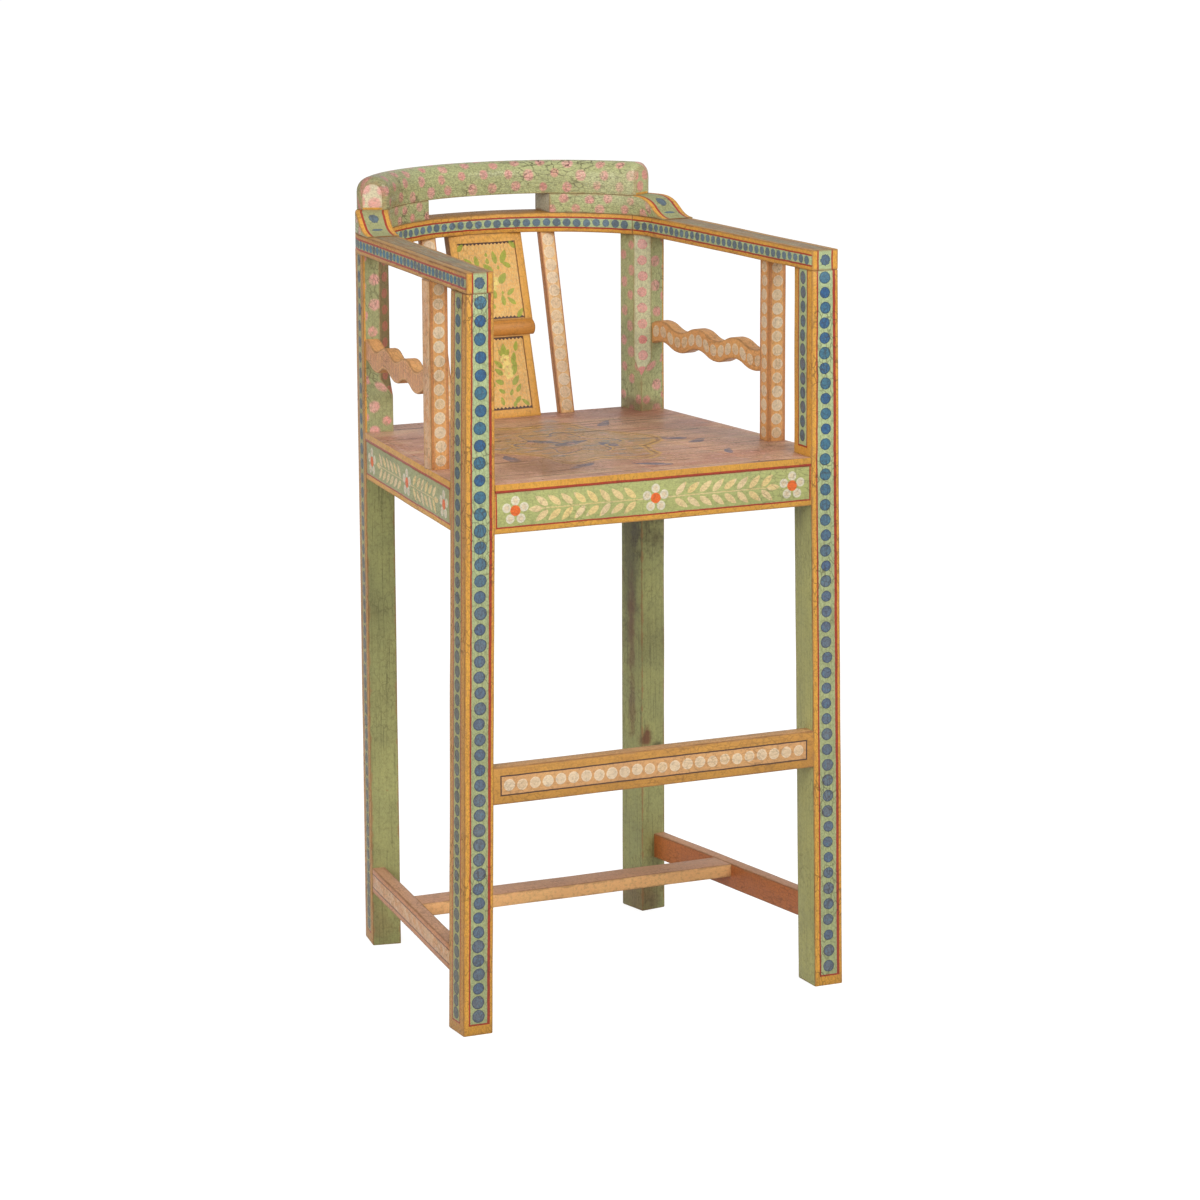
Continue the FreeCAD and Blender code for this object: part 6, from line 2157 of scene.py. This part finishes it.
@dataclass
class Back:
    """The splat with its moulding, and the two slats, raked back from the seat to the bow.

    Attributes:
        moulding_ends: how far in from the moulding's ends its section has which share of its size.
    """

    upper_width: float = 106.0
    lower_width: float = 92.0
    moulding_share: float = 0.441
    moulding_height: float = 21.0
    moulding_width: float = 108.0
    moulding_bulge: float = 5.5
    moulding_ends: tuple[tuple[float, float], ...] = ((0.0, 0.62), (1.0, 0.82), (3.0, 1.0))
    splat_thickness: float = 16.0
    slat_width: float = 22.0
    slat_thickness: float = 11.0
    slat_spread: float = 87.0
    set_back: float = 6.0
    foot_edge: float = 1.0

    @property
    def rise(self) -> float:
        """The height from the seat to the arms."""
        return PLAN.arm_under - PLAN.seat_height

    @property
    def moulding_bottom(self) -> float:
        """The level of the moulding's lower edge."""
        return PLAN.seat_height + self.moulding_share * self.rise

    def front(self, thickness: float, spread: float, level: float) -> float:
        """The front face of an upright at a level.

        Args:
            thickness: how thick the upright is.
            spread: how far its outer part is from the middle.
            level: the level.

        Returns:
            The front face's Y.
        """
        foot = PLAN.back_edge_y - self.foot_edge - thickness
        edge = BOW.radius - BOW.half
        head = BOW.centre_y + math.sqrt(edge ** 2 - spread ** 2) + self.set_back
        return foot + (head - foot) * (level - PLAN.seat_height) / self.rise

    def slat(self, side: Side) -> Timber:
        """A slat, from the seat to the bow."""
        half = self.slat_width / 2
        sections = []
        for level in (PLAN.seat_height - SUNK, PLAN.arm_under + SUNK):
            near = self.front(self.slat_thickness, self.slat_spread, level)
            x = (self.slat_spread - half, self.slat_spread + half)
            sections.append(upright_section(x, (near, near + self.slat_thickness), level))
        faces = [one(SLAT_FRONT), one(SLAT_SIDE), one(PEACH_BACK), one(SLAT_SIDE)]
        return Timber(f"slat_{side.tag}", "peach_paint", flip(divided(sections), side), faces, (BARE, BARE),
                      end_rounding=0.2)

    def moulding(self) -> Timber:
        """The half-round moulding across the splat, with rounded ends."""
        low = self.moulding_bottom
        spread = self.upper_width / 2
        feet = [Vector((0.0, self.front(self.splat_thickness, spread, level) + 0.3, level))
                for level in (low, low + self.moulding_height)]
        chord = feet[1] - feet[0]
        forward = Vector((0.0, -chord.z, chord.y)).normalized()
        half = chord.length / 2
        radius = (half ** 2 + self.moulding_bulge ** 2) / (2 * self.moulding_bulge)
        middle = (feet[0] + feet[1]) / 2
        profile = [feet[0]]
        for off in steps(-half, half, 10)[1:-1]:
            bulge = self.moulding_bulge - radius + math.sqrt(radius ** 2 - off ** 2)
            profile.append(middle + chord.normalized() * off + forward * bulge)
        profile.append(feet[1])
        reach = self.moulding_width / 2
        sections = []
        stations = [(-reach + inset, size) for inset, size in self.moulding_ends]
        stations += [(reach - inset, size) for inset, size in reversed(self.moulding_ends)]
        for x, size in stations:
            sections.append([middle.lerp(spot, size) + Vector((x, 0.0, 0.0)) for spot in profile])
        passing = frozenset(range(1, len(profile) - 1))
        return Timber("splat_moulding", "ochre_paint", divided(sections), [one(MOULDING), one(MOULDING)],
                      (MOULDING, MOULDING), passing=passing, rounding=0.8, end_rounding=0.6, waver=0.3)

    def splat(self) -> None:
        """The splat board, with a painted field sunk in each of its two panels."""
        piece = copied("splat_board", 0.8)
        split = self.moulding_bottom + self.moulding_height / 2
        upper, lower = self.upper_width / 2, self.lower_width / 2
        top = self.moulding_bottom + self.moulding_height
        panels = (
            Panel(SPLAT_UPPER, (top, PLAN.arm_under), (-upper, upper),
                  lambda spot, normal: normal.y < -0.6 and spot.z > split),
            Panel(SPLAT_LOWER, (PLAN.seat_height, self.moulding_bottom), (-lower, lower),
                  lambda spot, normal: normal.y < -0.6),
            Panel(PEACH_BACK, (PLAN.seat_height, PLAN.arm_under), (-upper, upper),
                  lambda spot, normal: normal.y > 0.6),
            Panel(OCHRE_PLAIN, (PLAN.seat_height, PLAN.arm_under), (-upper, upper),
                  lambda spot, normal: True))
        paint_panels(piece, panels, 2, 0)
        settle(piece, "splat_board")

    def build(self) -> None:
        """Builds the splat, its moulding and the slats, and finishes the pins."""
        self.splat()
        self.moulding().build()
        for side in Side:
            self.slat(side).build()
        refinish("moulding_pins", IRON)


@dataclass
class Dowels:
    """The dowels inside the crest and the ramps, which stay as the solids have them."""

    nodes: tuple[str, ...] = ("crest_dowels", "ramp_dowels")

    def build(self) -> None:
        """Gives the dowels their bare wood."""
        for node in self.nodes:
            refinish(node, BARE)


@dataclass
class Studio:
    """A pale floor, soft light and the camera at the photograph's angle."""

    azimuth: float = -24.94
    elevation: float = 11.9
    roll: float = -0.25
    distance: float = 5.719
    target: tuple[float, float, float] = (0.0326, -0.05, 0.4881)
    lens: float = 131.13
    sensor: float = 36.0
    clip_end: float = 200.0
    aim: tuple[float, float, float] = (0.0, 0.0, 0.55)
    lamps: tuple[tuple[str, tuple[float, float, float], float, float], ...] = (
        ("key", (1.2, -3.6, 3.0), 2.4, 101.0), ("fill", (-3.4, -2.2, 1.9), 2.6, 80.0))
    floor_size: float = 160.0
    floor_shade: float = 0.32
    floor_glow: float = 0.85
    sky: float = 0.62

    def camera(self) -> None:
        """The camera, in the photograph's place."""
        turn, lift = math.radians(self.azimuth), math.radians(self.elevation)
        back = Vector((math.sin(turn) * math.cos(lift), -math.cos(turn) * math.cos(lift), math.sin(lift)))
        bpy.ops.object.camera_add(location=Vector(self.target) + back * self.distance)
        camera = bpy.context.object
        facing = (-back).to_track_quat("-Z", "Y").to_matrix().to_4x4()
        camera.rotation_euler = (facing @ Matrix.Rotation(math.radians(self.roll), 4, "Z")).to_euler()
        camera.data.lens = self.lens
        camera.data.sensor_width = self.sensor
        camera.data.clip_end = self.clip_end
        bpy.context.scene.camera = camera

    def lamp(self, name: str, place: tuple[float, float, float], size: float, power: float) -> None:
        """A soft square lamp, turned to the chair.

        Args:
            name: its name.
            place: where it stands.
            size: the length of its sides.
            power: its power in watts.
        """
        bpy.ops.object.light_add(type="AREA", location=place)
        lamp = bpy.context.object
        lamp.name = name
        lamp.data.shape = "SQUARE"
        lamp.data.size = size
        lamp.data.energy = power
        aim = Vector(self.aim) - Vector(place)
        lamp.rotation_euler = aim.to_track_quat("-Z", "Y").to_euler()

    def floor(self) -> None:
        """A pale floor that the camera sees almost white, with the chair's shadow on it."""
        bpy.ops.mesh.primitive_grid_add(x_subdivisions=8, y_subdivisions=8, size=self.floor_size)
        floor = bpy.context.object
        floor.name = "studio_floor"
        material, graph, shader = blank_material("pale_floor")
        shader.inputs["Base Color"].default_value = (*[self.floor_shade] * 3, 1.0)
        shader.inputs["Roughness"].default_value = 0.9
        shader.inputs["Specular IOR Level"].default_value = 0.0
        rays = graph.add("ShaderNodeLightPath")
        seen: Number = 0.0
        for name in ("Is Camera Ray", "Is Glossy Ray", "Is Transmission Ray"):
            seen = Reckoned(graph, rays.outputs[name]).highest(seen)
        shader.inputs["Emission Color"].default_value = (1.0, 1.0, 1.0, 1.0)
        graph.feed(shader.inputs["Emission Strength"], seen * self.floor_glow)
        floor.data.materials.append(material)

    def world(self) -> None:
        """Even light from all round."""
        world = bpy.data.worlds.new("studio")
        world.use_nodes = True
        background = world.node_tree.nodes["Background"]
        background.inputs["Color"].default_value = (1.0, 1.0, 1.0, 1.0)
        background.inputs["Strength"].default_value = self.sky
        bpy.context.scene.world = world

    def build(self) -> None:
        """Sets up the studio."""
        self.camera()
        for lamp in self.lamps:
            self.lamp(*lamp)
        self.floor()
        self.world()
        bpy.context.scene.view_settings.view_transform = "Standard"


def main() -> None:
    """Builds the chair and the studio."""
    logging.basicConfig(level=logging.INFO, format="%(name)s: %(message)s")
    noise.seed_set(HANDWORK_SEED)
    assemblies = (Studio(), Legs(), Members(), ArmsAndBow(), Crest(), ArmSupports(), Seat(), Back(), Dowels())
    for assembly in assemblies:
        assembly.build()
        LOG.info("%s is in place", type(assembly).__name__)


if __name__ == "__main__":
    main()
